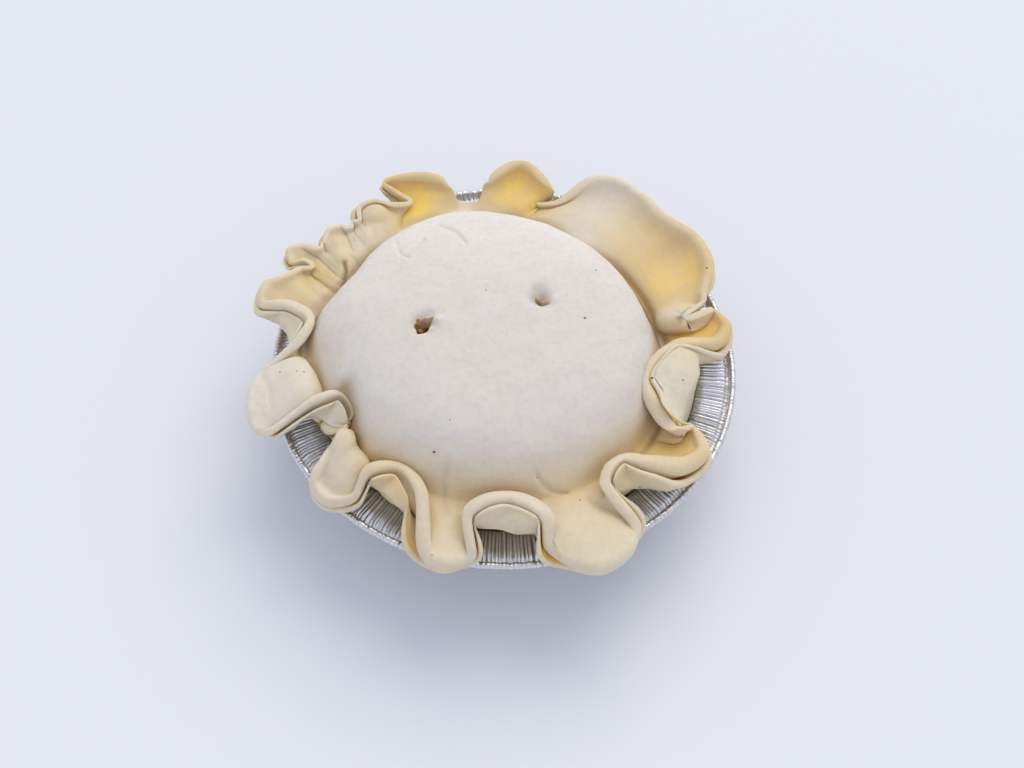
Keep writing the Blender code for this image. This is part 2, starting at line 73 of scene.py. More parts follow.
# The dome of the lid, measured on the middle of the sheet. It isn't quite round: its radius waves twice
# and three times round, and it is smaller or larger near two bearings (bearing, width in degrees, by
# how much). The shoulder, the softness and the start of the lift are powers. Towards the back the foot
# lies higher and the shoulder is crisper: the front ends, and the back starts, at a sine of the bearing
DOME_X, DOME_Y = -0.0049, -0.0042
DOME_RADIUS = 0.0552
DOME_WAVES = ((2, 0.00028, -0.00124), (3, 0.00019, -0.00089))
DOME_BULGES = ((150, 12, -0.0015), (176, 13, 0.0042))
DOME_RISE = 0.0183
DOME_CROWN = 0.20
DOME_SHOULDER, BACK_SHOULDER = 9.0, 13.0
DOME_SOFTNESS, BACK_SOFTNESS = 2.0, 1.5
VALLEY_HEIGHT = RIM_HEIGHT + 0.0070
BACK_LIFT = 0.0020
BACK_LIFT_FROM = 8
FRONT_END, BACK_START = -0.2, 0.8

# The frill: the free edge of the lid winds out and in. Each turn of it has a bearing (degrees),
# a reach from the tin's axis, a height above the rim, a breadth across the turn, a depth from the
# turn's crest back to its shoulders, a slant away from straight out or in (degrees), and a lean of
# the sheet at its edge (degrees: 0 lies flat outwards, 90 stands up, over 90 leans over the dome).
OUT, IN = 1, -1
TURNS = (
    # way, bearing, reach, height, breadth, depth, slant, lean
    (OUT, 7.1, 0.0723, 0.0110, 0.0139, 0.0039, -5, 65),
    (IN, 10.0, 0.0594, 0.0135, 0.0030, 0.0085, 26, 95),
    (OUT, 25.8, 0.0745, 0.0135, 0.0235, 0.0034, -21, 60),
    (IN, 45.5, 0.0730, 0.0150, 0.0140, 0.0011, -3, 60),
    (OUT, 60.6, 0.0762, 0.0155, 0.0180, 0.0032, 8, 60),
    (IN, 81.5, 0.0600, 0.0120, 0.0042, 0.0070, -60, 85),
    (OUT, 87.5, 0.0722, 0.0165, 0.0200, 0.0070, -1, 80),
    (IN, 102.5, 0.0640, 0.0065, 0.0100, 0.0010, 0, 20),
    (OUT, 117.5, 0.0728, 0.0165, 0.0200, 0.0021, -23, 85),
    (IN, 122.5, 0.0650, 0.0150, 0.0050, 0.0050, 45, 95),
    (OUT, 134.6, 0.0731, 0.0135, 0.0091, 0.0025, 17, 70),
    (IN, 140.3, 0.0700, 0.0130, 0.0030, 0.0010, 0, 85),
    (OUT, 145.5, 0.0746, 0.0125, 0.0095, 0.0022, 0, 65),
    (IN, 151.0, 0.0725, 0.0125, 0.0030, 0.0010, -20, 80),
    (OUT, 155.4, 0.0812, 0.0110, 0.0075, 0.0031, 5, 35),
    (IN, 157.5, 0.0710, 0.0120, 0.0030, 0.0030, 10, 95),
    (OUT, 167.6, 0.0805, 0.0130, 0.0127, 0.0030, -16, 55),
    (IN, 177.4, 0.0632, 0.0150, 0.0130, 0.0045, 22, 110),
    (OUT, 197.4, 0.0815, 0.0085, 0.0241, 0.0040, -16, 0),
    (IN, 207.5, 0.0563, 0.0150, 0.0120, 0.0043, 44, 100),
    (OUT, 218.9, 0.0655, 0.0110, 0.0130, 0.0000, -62, 10),
    (OUT, 229.4, 0.0775, 0.0080, 0.0123, 0.0036, 20, 30),
    (IN, 239.3, 0.0590, 0.0140, 0.0150, 0.0040, 13, 100),
    (OUT, 259.7, 0.0790, 0.0070, 0.0115, 0.0022, 8, 5),
    (IN, 272.4, 0.0605, 0.0150, 0.0200, 0.0045, -3, 110),
    (OUT, 291.0, 0.0826, 0.0072, 0.0255, 0.0080, -10, 0),
    (IN, 308.5, 0.0585, 0.0150, 0.0130, 0.0040, -15, 110),
    (OUT, 328.5, 0.0730, 0.0095, 0.0140, 0.0045, 20, 60),
    (IN, 338.0, 0.0476, 0.0155, 0.0300, 0.0090, 20, 135),
)

# The same turns again: how steeply the sheet leaves the dome's foot (degrees), half the lid's
# thickness at its edge, how far the lower sheet stops short of that edge, and how far off it stands
TURN_EDGES = (
    # climb, half thickness, short by, apart by
    (25, 0.0024, 0.0015, 0.0000),
    (60, 0.0028, 0.0040, 0.0000),
    (45, 0.0021, 0.0020, 0.0000),
    (45, 0.0021, 0.0020, 0.0000),
    (45, 0.0021, 0.0020, 0.0000),
    (45, 0.0023, 0.0020, 0.0000),
    (45, 0.0021, 0.0020, 0.0000),
    (15, 0.0018, 0.0005, 0.0003),
    (45, 0.0022, 0.0020, 0.0000),
    (45, 0.0022, 0.0040, 0.0000),
    (60, 0.0034, 0.0010, 0.0000),
    (60, 0.0034, 0.0020, 0.0000),
    (60, 0.0034, 0.0010, 0.0000),
    (60, 0.0032, 0.0020, 0.0000),
    (50, 0.0026, 0.0005, 0.0008),
    (45, 0.0025, 0.0030, 0.0000),
    (45, 0.0021, 0.0010, 0.0000),
    (5, 0.0030, 0.0015, 0.0000),
    (85, 0.0024, 0.0015, 0.0003),
    (8, 0.0034, 0.0008, 0.0010),
    (100, 0.0030, 0.0020, 0.0003),
    (75, 0.0034, 0.0008, 0.0003),
    (5, 0.0037, 0.0022, 0.0008),
    (0, 0.0032, 0.0008, 0.0003),
    (10, 0.0038, 0.0022, 0.0003),
    (0, 0.0030, 0.0012, 0.0003),
    (10, 0.0036, 0.0022, 0.0005),
    (15, 0.0030, 0.0010, 0.0000),
    (10, 0.0034, -0.0028, 0.0000),
)

# What each point of the edge carries after its place
LEAN, CLIMB, HALF, SHORT, APART = 3, 4, 5, 6, 7

# How the dough looks on each turn, from 0 to 1: flour on the lid's upper side and how yellow it is
# there, then the same for the outer side of the lower sheet. The yellow is partly bare dough and partly
# painted light: warm painted shade in folds and a painted glow through thin walls. The looks blend over
# LOOKS_BLEND of the way round
LID_FLOUR, LID_YELLOW, CRUST_FLOUR, CRUST_YELLOW = range(4)
LOOKS_BLEND = 0.004
TURN_LOOKS = (
    # lid's flour, lid's yellow, lower sheet's flour, lower sheet's yellow
    (0.20, 1.00, 0.20, 0.40),
    (0.85, 0.10, 0.20, 0.50),
    (0.20, 0.85, 0.20, 0.40),
    (0.35, 0.50, 0.20, 0.40),
    (0.65, 0.08, 0.20, 0.40),
    (0.30, 0.45, 0.30, 0.40),
    (0.10, 0.95, 0.50, 0.20),
    (0.85, 0.02, 0.60, 0.10),
    (0.10, 1.00, 0.20, 0.40),
    (0.30, 0.50, 0.20, 0.50),
    (0.45, 0.25, 0.20, 0.50),
    (0.80, 0.15, 0.20, 0.50),
    (0.35, 0.30, 0.20, 0.40),
    (0.60, 0.30, 0.20, 0.50),
    (0.25, 0.45, 0.20, 0.40),
    (0.30, 0.45, 0.20, 0.50),
    (0.30, 0.40, 0.20, 0.40),
    (0.40, 0.12, 0.50, 0.10),
    (0.60, 0.05, 0.40, 0.20),
    (0.70, 0.05, 0.55, 0.10),
    (0.55, 0.15, 0.50, 0.30),
    (0.50, 0.20, 0.40, 0.40),
    (0.35, 0.40, 0.35, 0.45),
    (0.30, 0.20, 0.30, 0.50),
    (0.40, 0.15, 0.40, 0.25),
    (0.35, 0.18, 0.30, 0.35),
    (0.25, 0.25, 0.30, 0.30),
    (0.35, 0.70, 0.30, 0.40),
    (0.45, 0.15, 0.50, 0.10),
)

# The edge's curve: knots for each turn, points for each span between knots, and how much closer the
# columns of the dough lie where it turns
KNOTS_PER_TURN = 3
STEPS_PER_SPAN = 24
TURN_PACE = 0.8

# How the sheet leaves the dome's foot and arrives at the free edge: share of the span, and least length
FOOT_BLEND = 0.020
FOOT_RUN, FOOT_RUN_LEAST = 0.45, 0.0070
EDGE_RUN, EDGE_RUN_LEAST = 0.40, 0.0060

# Where a fold turns back over the dome, the sheet first runs out as far as the flange and rests on it.
# The run begins where the edge leans more than UPRIGHT (degrees) and is whole FOLD_SWING further. The
# runs blend over RUN_BLEND of the way round
FOLD_REACH = 0.0740
UPRIGHT, FOLD_SWING = 60, 45
RUN_BLEND = 0.007

# Where the sheet climbs straight from the dome's foot: how far it first runs at a gentle climb and at
# an upright one (degrees, metres)
GENTLE, GENTLE_RUN = 25, 0.0042
STEEP, STEEP_RUN = 90, 0.0125

# The lid swells towards its edge between these shares of the sheet
SWELL_FROM, SWELL_TO = 1.10, 1.75

# Rolls of dough on the lid's upper side: turns round the edge, width in turns, share of the sheet,
# width in shares, height
ROLLS = (
    (0.85, 0.55, 1.50, 0.36, 0.0038),
    (18.0, 0.60, 1.35, 0.30, 0.0012),
    (20.0, 0.80, 1.35, 0.30, 0.0018),
)

# Lobes rolled up into bulbs: turns round the edge, share of the frill, radius. A point in a bulb moves
# out to about its radius, the more sharply the higher the power, and fully from BULB_FULL of the frill
# on. No point counts as nearer to the bulb's middle than the core, a share of the radius
BULBS = (
    (9.75, 0.62, 0.0056),
    (12.0, 0.66, 0.0033),
)
BULB_POWER = 6
BULB_FROM, BULB_FULL = 0.0, 0.25
BULB_CORE = 0.02

# The fine grid of the dough, and the coarse one on which its thickness is worked out, read off with a
# blur round the pie. The ways along a sheet are measured over a nudge to each side
COLUMNS = 704
DOME_LINES = 78
FRILL_LINES = 28
UNDER_DOME_STEP = 13
UNDER_FRILL_STEP = 2
TIP_TURNS = (72, 48, 24, 0, -24, -48, -72)
COARSE_COLUMNS = 352
COARSE_DOME = (0.0, 0.50, 0.78, 0.92, 1.0)
COARSE_FRILL = (0.125, 0.25, 0.375, 0.5, 0.625, 0.75, 0.875, 1.0)
COARSE_SHARES = (*COARSE_DOME, *(1 + share for share in COARSE_FRILL))
FIELD_BLUR = 0.0035
NUDGE = 0.02

# How far a fold may use up the room beside the sheet, how much thinner than drawn it may get, and how
# fast the thickness may change along the sheet
ROOM_SHARE = 0.72
THINNEST = 0.12
TAPER = 0.5

# The rows of the lower sheet on the frill: where they begin, and how many there are on each side. Its
# outer side is evened out at first and less and less between two shares of the frill, and it parts from
# the lid beyond another
CRUST_INNER_FROM = 0.25
CRUST_OUTER_FROM = 0.45
CRUST_INNER_LINES = 12
CRUST_OUTER_LINES = 30
EVEN_BLEND, EVEN_UP_TO = 0.005, (0.45, 0.75)
PARTED_FROM = 0.35

# Where the lower sheet stands away from the lid's edge: how far round the turns, how wide, how far
PARTINGS = (
    (22.55, 0.35, 0.0028),
    (26.6, 0.40, 0.0006),
)

# Where the lower sheet reaches past the lid's edge: how far round the turns, how wide, how far
FLAPS = (
    (21.80, 0.42, 0.0020),
    (23.90, 0.32, 0.0020),
    (24.55, 0.30, 0.0034),
    (26.00, 0.50, 0.0020),
)

# The least height that counts, the distance at which points are one, and one beyond every point
SMALLEST = 1e-6
WELD = 1e-7
FAR_AWAY = 1.0

# Soft hills over the dough, from a sum of waves: how many, and the range of their lengths
WAVE_COUNT = 16
WAVE_LENGTHS = (0.75, 1.5)

# The hills of the lid and of the lower sheet's outer side: size across, height, and seed
LUMPS = (0.034, 0.00022, 3)
RIPPLES = (0.009, 0.00010, 4)
CRUST_RIPPLES = (0.009, 0.00012, 11)

# Fine lines in the lid's upper side, where the photograph shows them: depth, width, line in the plan
LID_LINES = (
    (0.00060, 0.0005, ((-0.0363, 0.0284), (-0.0356, 0.0245), (-0.0338, 0.0220), (-0.0321, 0.0215))),
    (0.00060, 0.0005, ((-0.0321, 0.0215), (-0.0298, 0.0241), (-0.0272, 0.0287))),
    (0.00090, 0.0006, ((-0.0227, 0.0357), (-0.0176, 0.0325), (-0.0155, 0.0301), (-0.0138, 0.0274))),
    (0.00090, 0.0006, ((0.0112, -0.0522), (0.0131, -0.0537), (0.0159, -0.0545), (0.0207, -0.0544))),
    (0.00015, 0.0004, ((-0.0064, -0.0092), (-0.0045, -0.0114), (-0.0025, -0.0139))),
    (0.00060, 0.0011, ((-0.0156, -0.0518), (-0.0167, -0.0542), (-0.0165, -0.0583), (-0.0151, -0.0623))),
    (0.00050, 0.0009, ((0.0275, -0.0565), (0.0284, -0.0531), (0.0303, -0.0489))),
    (0.00035, 0.0005, ((-0.0523, 0.0304), (-0.0443, 0.0238))),
    (0.00070, 0.0007, ((-0.0763, -0.0117), (-0.0756, -0.0171), (-0.0726, -0.0227), (-0.0710, -0.0297))),
)

# Slits and hollows in the lid, darkened with painted shade: how dark the painted shade is, depth,
# width, and the line in the plan
LID_SHADED_SLITS = (
    (1.00, 0.0012, 0.0006, ((-0.0543, 0.0281), (-0.0538, 0.0255), (-0.0543, 0.0198))),
    (0.75, 0.0005, 0.0026, ((-0.0478, -0.0245), (-0.0448, -0.0330), (-0.0435, -0.0400))),
)

# Where the wall of the frill meets the dome in a crevice, pressed in and darkened with painted shade:
# bearing, half width in degrees, strength
CREVICES = (
    (24, 24, 1.0),
    (76, 12, 0.4),
    (150, 16, 0.5),
    (177, 8, 0.6),
    (211, 9, 1.6),
    (238, 8, 0.7),
    (272, 9, 0.4),
    (334, 12, 0.9),
)

# How far out from the dome's foot a crevice lies, its width and depth, the width of the painted shade
# beside it, and how sharply it ends along the foot
CREVICE_OUT, CREVICE_WIDTH, CREVICE_DEPTH = 0.0024, 0.0013, 0.0013
SHADE_BESIDE_WIDTH = 0.0060
CREVICE_ENDS = 4

# Where the lid's looks change, in shares of the sheet: 1 is the dome's foot and 2 the free edge
ON_FRILL, NEAR_EDGE = (1.05, 1.35), (1.86, 2.0)
FOOT_BARES, LOW_FRONT_SHARES, LOW_YELLOWS = (0.80, 1.0), (0.70, 0.97), (0.70, 1.0)
HOLLOW_ENDS = (1.35, 1.80)

# The same in metres from the tin's axis: to the back, to the front, and to the left of the front, which
# counts less
TO_BACK, TO_FRONT = (-0.005, 0.035), (0.015, 0.045)
TO_LEFT, LEFT_TO_FRONT, LEFT_SHARE = (0.036, 0.052), (-0.006, 0.010), 0.6

# The same by the room over the sheet: a hollow turns yellow, partly warm painted shade and partly bare
# dough, and a narrow gap gets painted shade
HOLLOW_ROOM, NARROW_ROOM = (0.002, 0.009), (0.0003, 0.0016)

# The flour that the lid loses at the dome's foot, low at the front and near the edge, and what is
# there.
# Low at the front the loss is painted shade on slopes turned from the light, partly bare dough; near
# the edge the flour evens out, partly as a painted highlight on the rims
FOOT_LOSS, LOW_LOSS, EDGE_LOSS, EDGE_FLOUR_AND_HIGHLIGHT = 0.15, 0.55, 0.3, 0.50

# How grey the flour is on the dome, where it is left off towards the back as painted light from behind,
# how much less grey it is low at the front, and on the frill
DOME_GREY, LOW_LESS_GREY, FRILL_GREY = 0.85, 0.6, 0.15

# How yellow the lid is: the share lost near its edge, partly a painted highlight, hollows on any turn
# and more on a yellow one, low at the front, and beside the crevices. In the hollows, low at the front
# and beside the crevices the yellow is partly warm painted shade and partly bare dough
EDGE_PALER = 0.4
HOLLOW_YELLOW, HOLLOW_YELLOWER = 0.06, 0.22
LOW_YELLOW, BESIDE_YELLOW = 0.32, 0.20

# How strong the painted shade is in the lid's crevices, in narrow gaps, in the steam holes, and beside
# the crevices
CREVICE_PAINTED_SHADE, NARROW_PAINTED_SHADE, HOLE_PAINTED_SHADE, BESIDE_PAINTED_SHADE = 0.9, 0.6, 0.7, 0.30

# The looks of the lower sheet: the shares of the frill over which its flour begins, where it gets paler
# near its edge and by how much, the room beside its hollows, how yellow it is outside them and how much
# more in them, partly as warm painted shade, and how grey its flour is
CRUST_FLOURED = (0.3, 0.6)
CRUST_EDGE, CRUST_EDGE_PALER = (0.8, 1.0), 0.5
CRUST_HOLLOW_ROOM = (0.002, 0.008)
CRUST_PLAIN_YELLOW, CRUST_HOLLOW_YELLOW = 0.7, 0.5
CRUST_GREY = 0.1

# Between the sheets the lower one is at least this yellow, from the first share of the frill on: bare
# dough, and warm painted shade in the gap
BETWEEN_YELLOW, BETWEEN = 0.85, (0.6, 0.95)

# The poked steam holes: place, radius at the top and at the bottom, stretch and turn of the slit. Then
# the sides and the length of the cones that cut them
VENTS = (
    ("vent_left_cutter", -0.0252, -0.0070, 0.0030, 0.0021, 1.35, 70),
    ("vent_right_cutter", 0.0112, 0.0050, 0.0017, 0.0011, 1.8, 150),
)
VENT_SIDES = 40
VENT_LENGTH = 0.016

# The outline of the holes is ragged: waves round it, and the share that each adds to the radius
VENT_RAGGED = ((2, 0.10), (3, 0.13), (5, 0.08))

# The dough round the holes: place, width, and height off the smooth dome (below zero it is pushed in)
VENT_HUMPS = (
    (-0.0250, -0.0062, 0.0032, -0.0024),
    (-0.0236, -0.0026, 0.0018, -0.0008),
    (-0.0252, -0.0116, 0.0018, 0.0005),
    (-0.0214, -0.0056, 0.0018, 0.0020),
    (-0.0226, -0.0086, 0.0011, 0.0012),
    (0.0110, 0.0056, 0.0032, -0.0034),
    (0.0100, 0.0092, 0.0024, -0.0016),
    (0.0098, 0.0010, 0.0018, 0.0004),
    (0.0144, 0.0052, 0.0018, 0.0013),
)

# Painted shade in the holes: place and width
VENT_SHADE = ((-0.0252, -0.0062, 0.0030), (0.0107, 0.0060, 0.0026))

# Lumps of filling in the left hole: place, half sizes along, across and up, turn, height off the dome
FILLING_BITS = (
    (-0.0270, -0.0050, 0.0013, 0.0010, 0.0012, 70, -0.0018),
    (-0.0262, -0.0075, 0.0009, 0.0008, 0.0010, 20, -0.0028),
)

# How uneven the lumps are, the size of their bumps against a lump's, their fineness, and their seeds
BIT_BUMPS, BIT_BUMP_SIZE = 0.16, 1.6
BIT_FINENESS = 3
BIT_SEED, BIT_SEEDS = 32, 1000

# The foil's pleats: how many, points across each, height, ranges of width, height and crest, how narrow
# the painted shade in the creases between them is, and seed
CRIMPS = 356
CRIMP_COLUMNS = 6
CRIMP_HEIGHT = 0.00052
CRIMP_WIDTHS, CRIMP_HEIGHTS, CRIMP_CRESTS = (0.55, 1.45), (0.45, 1.0), (0.3, 0.7)
CREASE_NARROWS = 4
CRIMP_SEED = 21

# The rolled bead: its middle, its turns (degrees), its share of the pleats' height, and its dents, with
# their height, the columns across each, and seed
BEAD_CENTRE = BEAD_OUTER_RADIUS - BEAD_RADIUS
BEAD_TURNS = (160, 130, 100, 70, 40, 10, -20, -50, -80, -110, -140)
BEAD_SHARE = 0.22
BEAD_DENTS, DENT_COLUMNS, DENT_SEED = 0.00013, 3, 5

# The tin's upper side from its centre to the bead: distance out, height, share of the pleats' height,
# and which way the pleats stand
UP, OUTWARDS = 0, 1
GROOVE = BEAD_CENTRE - 0.0019
TIN_TOP = (
    (0.0, FOIL, 0.0, UP),
    (BASE_RADIUS - BASE_CORNER - FOIL, FOIL, 0.0, UP),
    (BASE_RADIUS - FOIL * 1.6, BASE_CORNER * 0.35 + FOIL, 0.0, UP),
    (BASE_RADIUS - FOIL, BASE_CORNER + FOIL, 0.1, OUTWARDS),
    (BASE_RADIUS - FOIL + 0.0060, BASE_CORNER + FOIL + 0.0120, 0.5, OUTWARDS),
    (FLANGE_INNER_RADIUS - FOIL - 0.0012, RIM_HEIGHT - 0.0030, 0.8, OUTWARDS),
    (FLANGE_INNER_RADIUS - FOIL, RIM_HEIGHT - 0.0008, 0.8, OUTWARDS),
    (FLANGE_INNER_RADIUS + 0.0004, RIM_HEIGHT, 0.8, UP),
    (0.0660, RIM_HEIGHT, 1.0, UP),
    (0.0690, RIM_HEIGHT, 1.0, UP),
    (GROOVE - 0.0012, RIM_HEIGHT, 0.9, UP),
    (GROOVE - 0.0003, RIM_HEIGHT - 0.0002, 0.6, UP),
    (GROOVE + 0.0003, RIM_HEIGHT - 0.0009, 0.25, UP),
    (GROOVE + 0.0008, RIM_HEIGHT - 0.0007, 0.25, UP),
)

# The tin's under side follows the first rows of its upper side. On the wall it lies the thickness of
# the foil further out and a share of it lower, and on the flange that much lower and a share of it
# further out
UNDER_ROWS = 12
WALL_LOWER, FLANGE_OUTER = 0.4, 0.3

# How fast the painted shade in the creases and the painted glints grow with the pleats' height
CREASE_GAIN, GLINT_GAIN = 1.2, 2.0

# Dark specks in the dough: pixel of the photograph, and size across in metres
SPECKS = (
    (486, 290, 0.0004), (585, 318, 0.0006), (596, 270, 0.0005), (369, 480, 0.0007),
    (683, 380, 0.0006), (698, 382, 0.0007), (652, 378, 0.0009), (707, 268, 0.0006),
    (245, 433, 0.0009), (280, 372, 0.0006), (304, 372, 0.0006), (297, 371, 0.0004),
    (434, 452, 0.0008), (450, 420, 0.0004), (540, 300, 0.0003), (432, 555, 0.0004),
    (640, 487, 0.0005), (580, 500, 0.0004), (620, 340, 0.0003), (537, 478, 0.0004),
)

# The specks are drawn this much larger, each stretched along and across, and flat. Fineness and seed
SPECK_GROWTH = 1.35
SPECK_LONG, SPECK_BROAD, SPECK_FLAT = (0.7, 1.4), (0.6, 1.0), 0.45
SPECK_FINENESS, SPECK_SEED = 1, 8

# Colours of the dough
FLOURED = (0.84, 0.78, 0.70, 1)
# Grey flour, which the dome is spared only at its back: partly painted light from behind
GREY_FLOUR = (0.745, 0.690, 0.615, 1)
PLAIN_DOUGH = (0.77, 0.668, 0.44, 1)
YELLOW_DOUGH = (0.745, 0.54, 0.24, 1)
# A painted glow: light through thin dough, given as the deepest yellow
PAINTED_GLOW_YELLOW = (0.97, 0.65, 0.13, 1)
# Painted shade: the dark brown given to crevices, narrow gaps and holes
PAINTED_CREVICE_SHADE = (0.36, 0.21, 0.06, 1)
GREY_FLECK = (0.55, 0.48, 0.38, 1)

# The noises in the dough: scale and detail
CLOUD, BLOTCH, MOTTLE, GRAIN = (45, 3), (130, 4), (480, 5), (1500, 3)

# The middle of a noise's range, and what the cloud and the blotch there do to the flour and the yellow
MIDDLE = (0.3, 0.7)
CLOUD_FLOUR, BLOTCH_FLOUR = (-0.15, 0.15), (-0.09, 0.09)
CLOUD_YELLOW, BLOTCH_YELLOW = (0.86, 1.14), (0.88, 1.12)

# The warmth at which dough is YELLOW_DOUGH, and past which it turns to the deepest yellow, a painted
# glow of light through thin dough. Then the grey flecks: range of the mottle, and share
YELLOW_MIDDLE = 0.6
FLECK_RANGE, FLECKS = (0.45, 0.75), (0, 0.22)

# The dough's relief: strength and distance of the soft bumps and of its skin, and the skin's grain
SOFT_BUMPS, SKIN_BUMPS, SKIN_GRAIN = (0.35, 0.0009), (0.4, 0.0005), 0.35

# How rough the dough is, bare and floured, and how light passes into it
DOUGH_ROUGHNESS = (0.46, 0.78)
DOUGH_LIGHT = {
    "Subsurface Weight": 0.35,
    "Subsurface Radius": (1.0, 0.72, 0.38),
    "Subsurface Scale": 0.0028,
    "Specular IOR Level": 0.35,
}

# The foil: painted reflections dim and bright, one to each side of a pleat, clouded parts, and painted
# shade in the creases, with the share of the last two
DIM_PLEAT_REFLECTION, BRIGHT_PLEAT_REFLECTION = (0.70, 0.69, 0.69, 1), (0.97, 0.96, 0.95, 1)
CLOUDED_FOIL, FOIL_CLOUDED = (0.74, 0.73, 0.73, 1), 0.4
PAINTED_CREASE_SHADE, CREASE_SHADE_SHARE = (0.03, 0.027, 0.025, 1), 0.95
FOIL_DENTS, FOIL_CLOUDS = (500, 3), (60, 2)
FOIL_BUMPS, FOIL_ROUGHNESS = (0.5, 0.0006), (0.22, 0.42)

# The filling: sauce in two browns, with paler lumps where their pattern is under a limit
SAUCE_LIGHT, SAUCE_DARK = (0.55, 0.24, 0.04, 1), (0.16, 0.06, 0.012, 1)
SAUCE, SAUCE_LUMPS = (350, 5), (0.62, 0.36, 0.12, 1)
LUMP_SCALE, LUMP_LIMIT = 160, 0.35
FILLING_BUMPS, FILLING_ROUGHNESS = (0.8, 0.0015), 0.32

# The sockets of a mix node that belong to colours
MIX_FACTOR, MIX_FIRST, MIX_SECOND, MIX_RESULT = 0, 6, 7, 2

# The specks and the floor: their two colours, the noise between them, and how they shine
SPECK_DARK, SPECK_LIGHT = (0.10, 0.055, 0.025, 1), (0.26, 0.16, 0.08, 1)
SPECK_NOISE, SPECK_ROUGHNESS = (2500, 2), 0.7
FLOOR_DARK, FLOOR_LIGHT = (0.82, 0.825, 0.84, 1), (0.835, 0.84, 0.852, 1)
FLOOR_NOISE, FLOOR_ROUGHNESS, FLOOR_SHINE = (4, 2), 0.6, 0.2
FLOOR_HALF = 3.0

# The light: a pale sky, and a large soft light from behind on the right, given by the way towards it
SKY_COLOUR, SKY_STRENGTH = (0.66, 0.70, 0.84, 1), 1.0
LAMP_ENERGY, LAMP_WIDTH, LAMP_COLOUR = 1.18, 50, (1.0, 0.95, 0.77)
LAMP_FROM = (0.28, 0.74, 0.93)

# The photograph's camera: its height above the table as an angle, its roll, and where it looks
CAMERA_RISE = 55.526
CAMERA_ROLL = 2.027
CAMERA_AIM = (0.00277, -0.009421, 0.030)
CAMERA_DISTANCE = 0.41566
CAMERA_LENS = 45
CAMERA_SENSOR = 36
CAMERA_NEAR = 0.01
IMAGE_WIDTH, IMAGE_HEIGHT = 1024, 768


def direction(bearing):
    """Unit vectors in the plan, for bearings in radians."""
    return np.stack([np.cos(bearing), np.sin(bearing)], axis=-1)


def unit(vectors):
    """The vectors, each made one long."""
    return vectors / np.linalg.norm(vectors, axis=-1, keepdims=True)


def turn_knots():
    """Three points for each turn of the frill's edge: shoulder, crest, shoulder.

    Each is x, y, z, lean, and what TURN_EDGES gives.
    """
    knots = []
    for turn, more in zip(TURNS, TURN_EDGES):
        way, bearing, reach, height, breadth, depth, slant, lean = turn
        crest = reach * direction(math.radians(bearing))
        axis = way * direction(math.radians(bearing + slant))
        across = way * np.array([-axis[1], axis[0]])
        for side in (-1, 0, 1):
            plan = crest - abs(side) * depth * axis + side * breadth / 2 * across
            knots.append((*plan, RIM_HEIGHT + height, lean, *more))
    return np.array(knots)


def smooth_loop(knots):
    """Many points along the smooth closed curve through the knots (centripetal Catmull-Rom)."""
    points = [np.roll(knots, shift, axis=0) for shift in (1, 0, -1, -2)]
    times = [np.zeros(len(knots))]
    for start, end in zip(points, points[1:]):
        times.append(times[-1] + np.sqrt(np.linalg.norm((end - start)[:, :3], axis=1)))
    share = np.arange(STEPS_PER_SPAN) / STEPS_PER_SPAN
    time = times[1][:, None] + (times[2] - times[1])[:, None] * share

    def between(first, second, i, j):
        """Points on the way from one set to the other, by their times."""
        weight = (time - times[i][:, None]) / (times[j] - times[i])[:, None]
        return first * (1 - weight)[..., None] + second * weight[..., None]

    p0, p1, p2, p3 = (point[:, None, :] for point in points)
    a, b, c = between(p0, p1, 0, 1), between(p1, p2, 1, 2), between(p2, p3, 2, 3)
    curve = between(between(a, b, 0, 2), between(b, c, 1, 3), 1, 2)
    return curve.reshape(-1, knots.shape[1])


def column_shares(curve):
    """How far round the columns each point of the edge is. They lie closer together where it turns."""
    step = np.roll(curve, -1, axis=0) - curve
    length = np.linalg.norm(step[:, :3], axis=1)
    heading = np.unwrap(np.arctan2(step[:, 1], step[:, 0]))
    turning = np.abs(np.diff(heading, append=heading[-1]))
    pace = length / length.sum() + TURN_PACE * turning / turning.sum()
    return np.concatenate([[0], np.cumsum(pace)]) / pace.sum()


def frill_edge(count):
    """The lid's free edge at count columns: x, y, z, lean, and what TURN_EDGES gives."""
    curve = smooth_loop(turn_knots())
    reached = column_shares(curve)
    closed = np.vstack([curve, curve[:1]])
    columns = np.arange(count) / count
    return np.stack([np.interp(columns, reached, values) for values in closed.T], axis=1)


def crest_shares():
    """How far round the columns each turn's crest is."""
    reached = column_shares(smooth_loop(turn_knots()))
    crests = KNOTS_PER_TURN * np.arange(len(TURNS)) + 1
    return reached[crests * STEPS_PER_SPAN]


def smooth_round(values, width):
    """A list that closes on itself, averaged over a width given as a share of the whole."""
    offset = np.arange(len(values)) / len(values)
    offset = np.minimum(offset, 1 - offset)
    weight = np.exp(-0.5 * (offset / width) ** 2)
    spectrum = np.fft.rfft(weight / weight.sum()) * np.fft.rfft(values)
    return np.fft.irfft(spectrum, len(values))


def foot_bearings(edge):
    """The bearing at which each column leaves the dome: the edge's own, its back-turns evened out."""
    bearing = np.unwrap(np.arctan2(edge[:, 1], edge[:, 0]))
    even = bearing[0] + 2 * math.pi * np.arange(len(edge)) / len(edge)
    return even + smooth_round(bearing - even, FOOT_BLEND)


def ease(value, low, high):
    """Goes smoothly from 0 at low to 1 at high."""
    share = np.clip((value - low) / (high - low), 0, 1)
    return share * share * (3 - 2 * share)


def turned(bearing, centre):
    """Degrees from a centre in degrees to bearings in radians, from -180 to 180."""
    return np.remainder(np.degrees(bearing) - centre + 180, 360) - 180


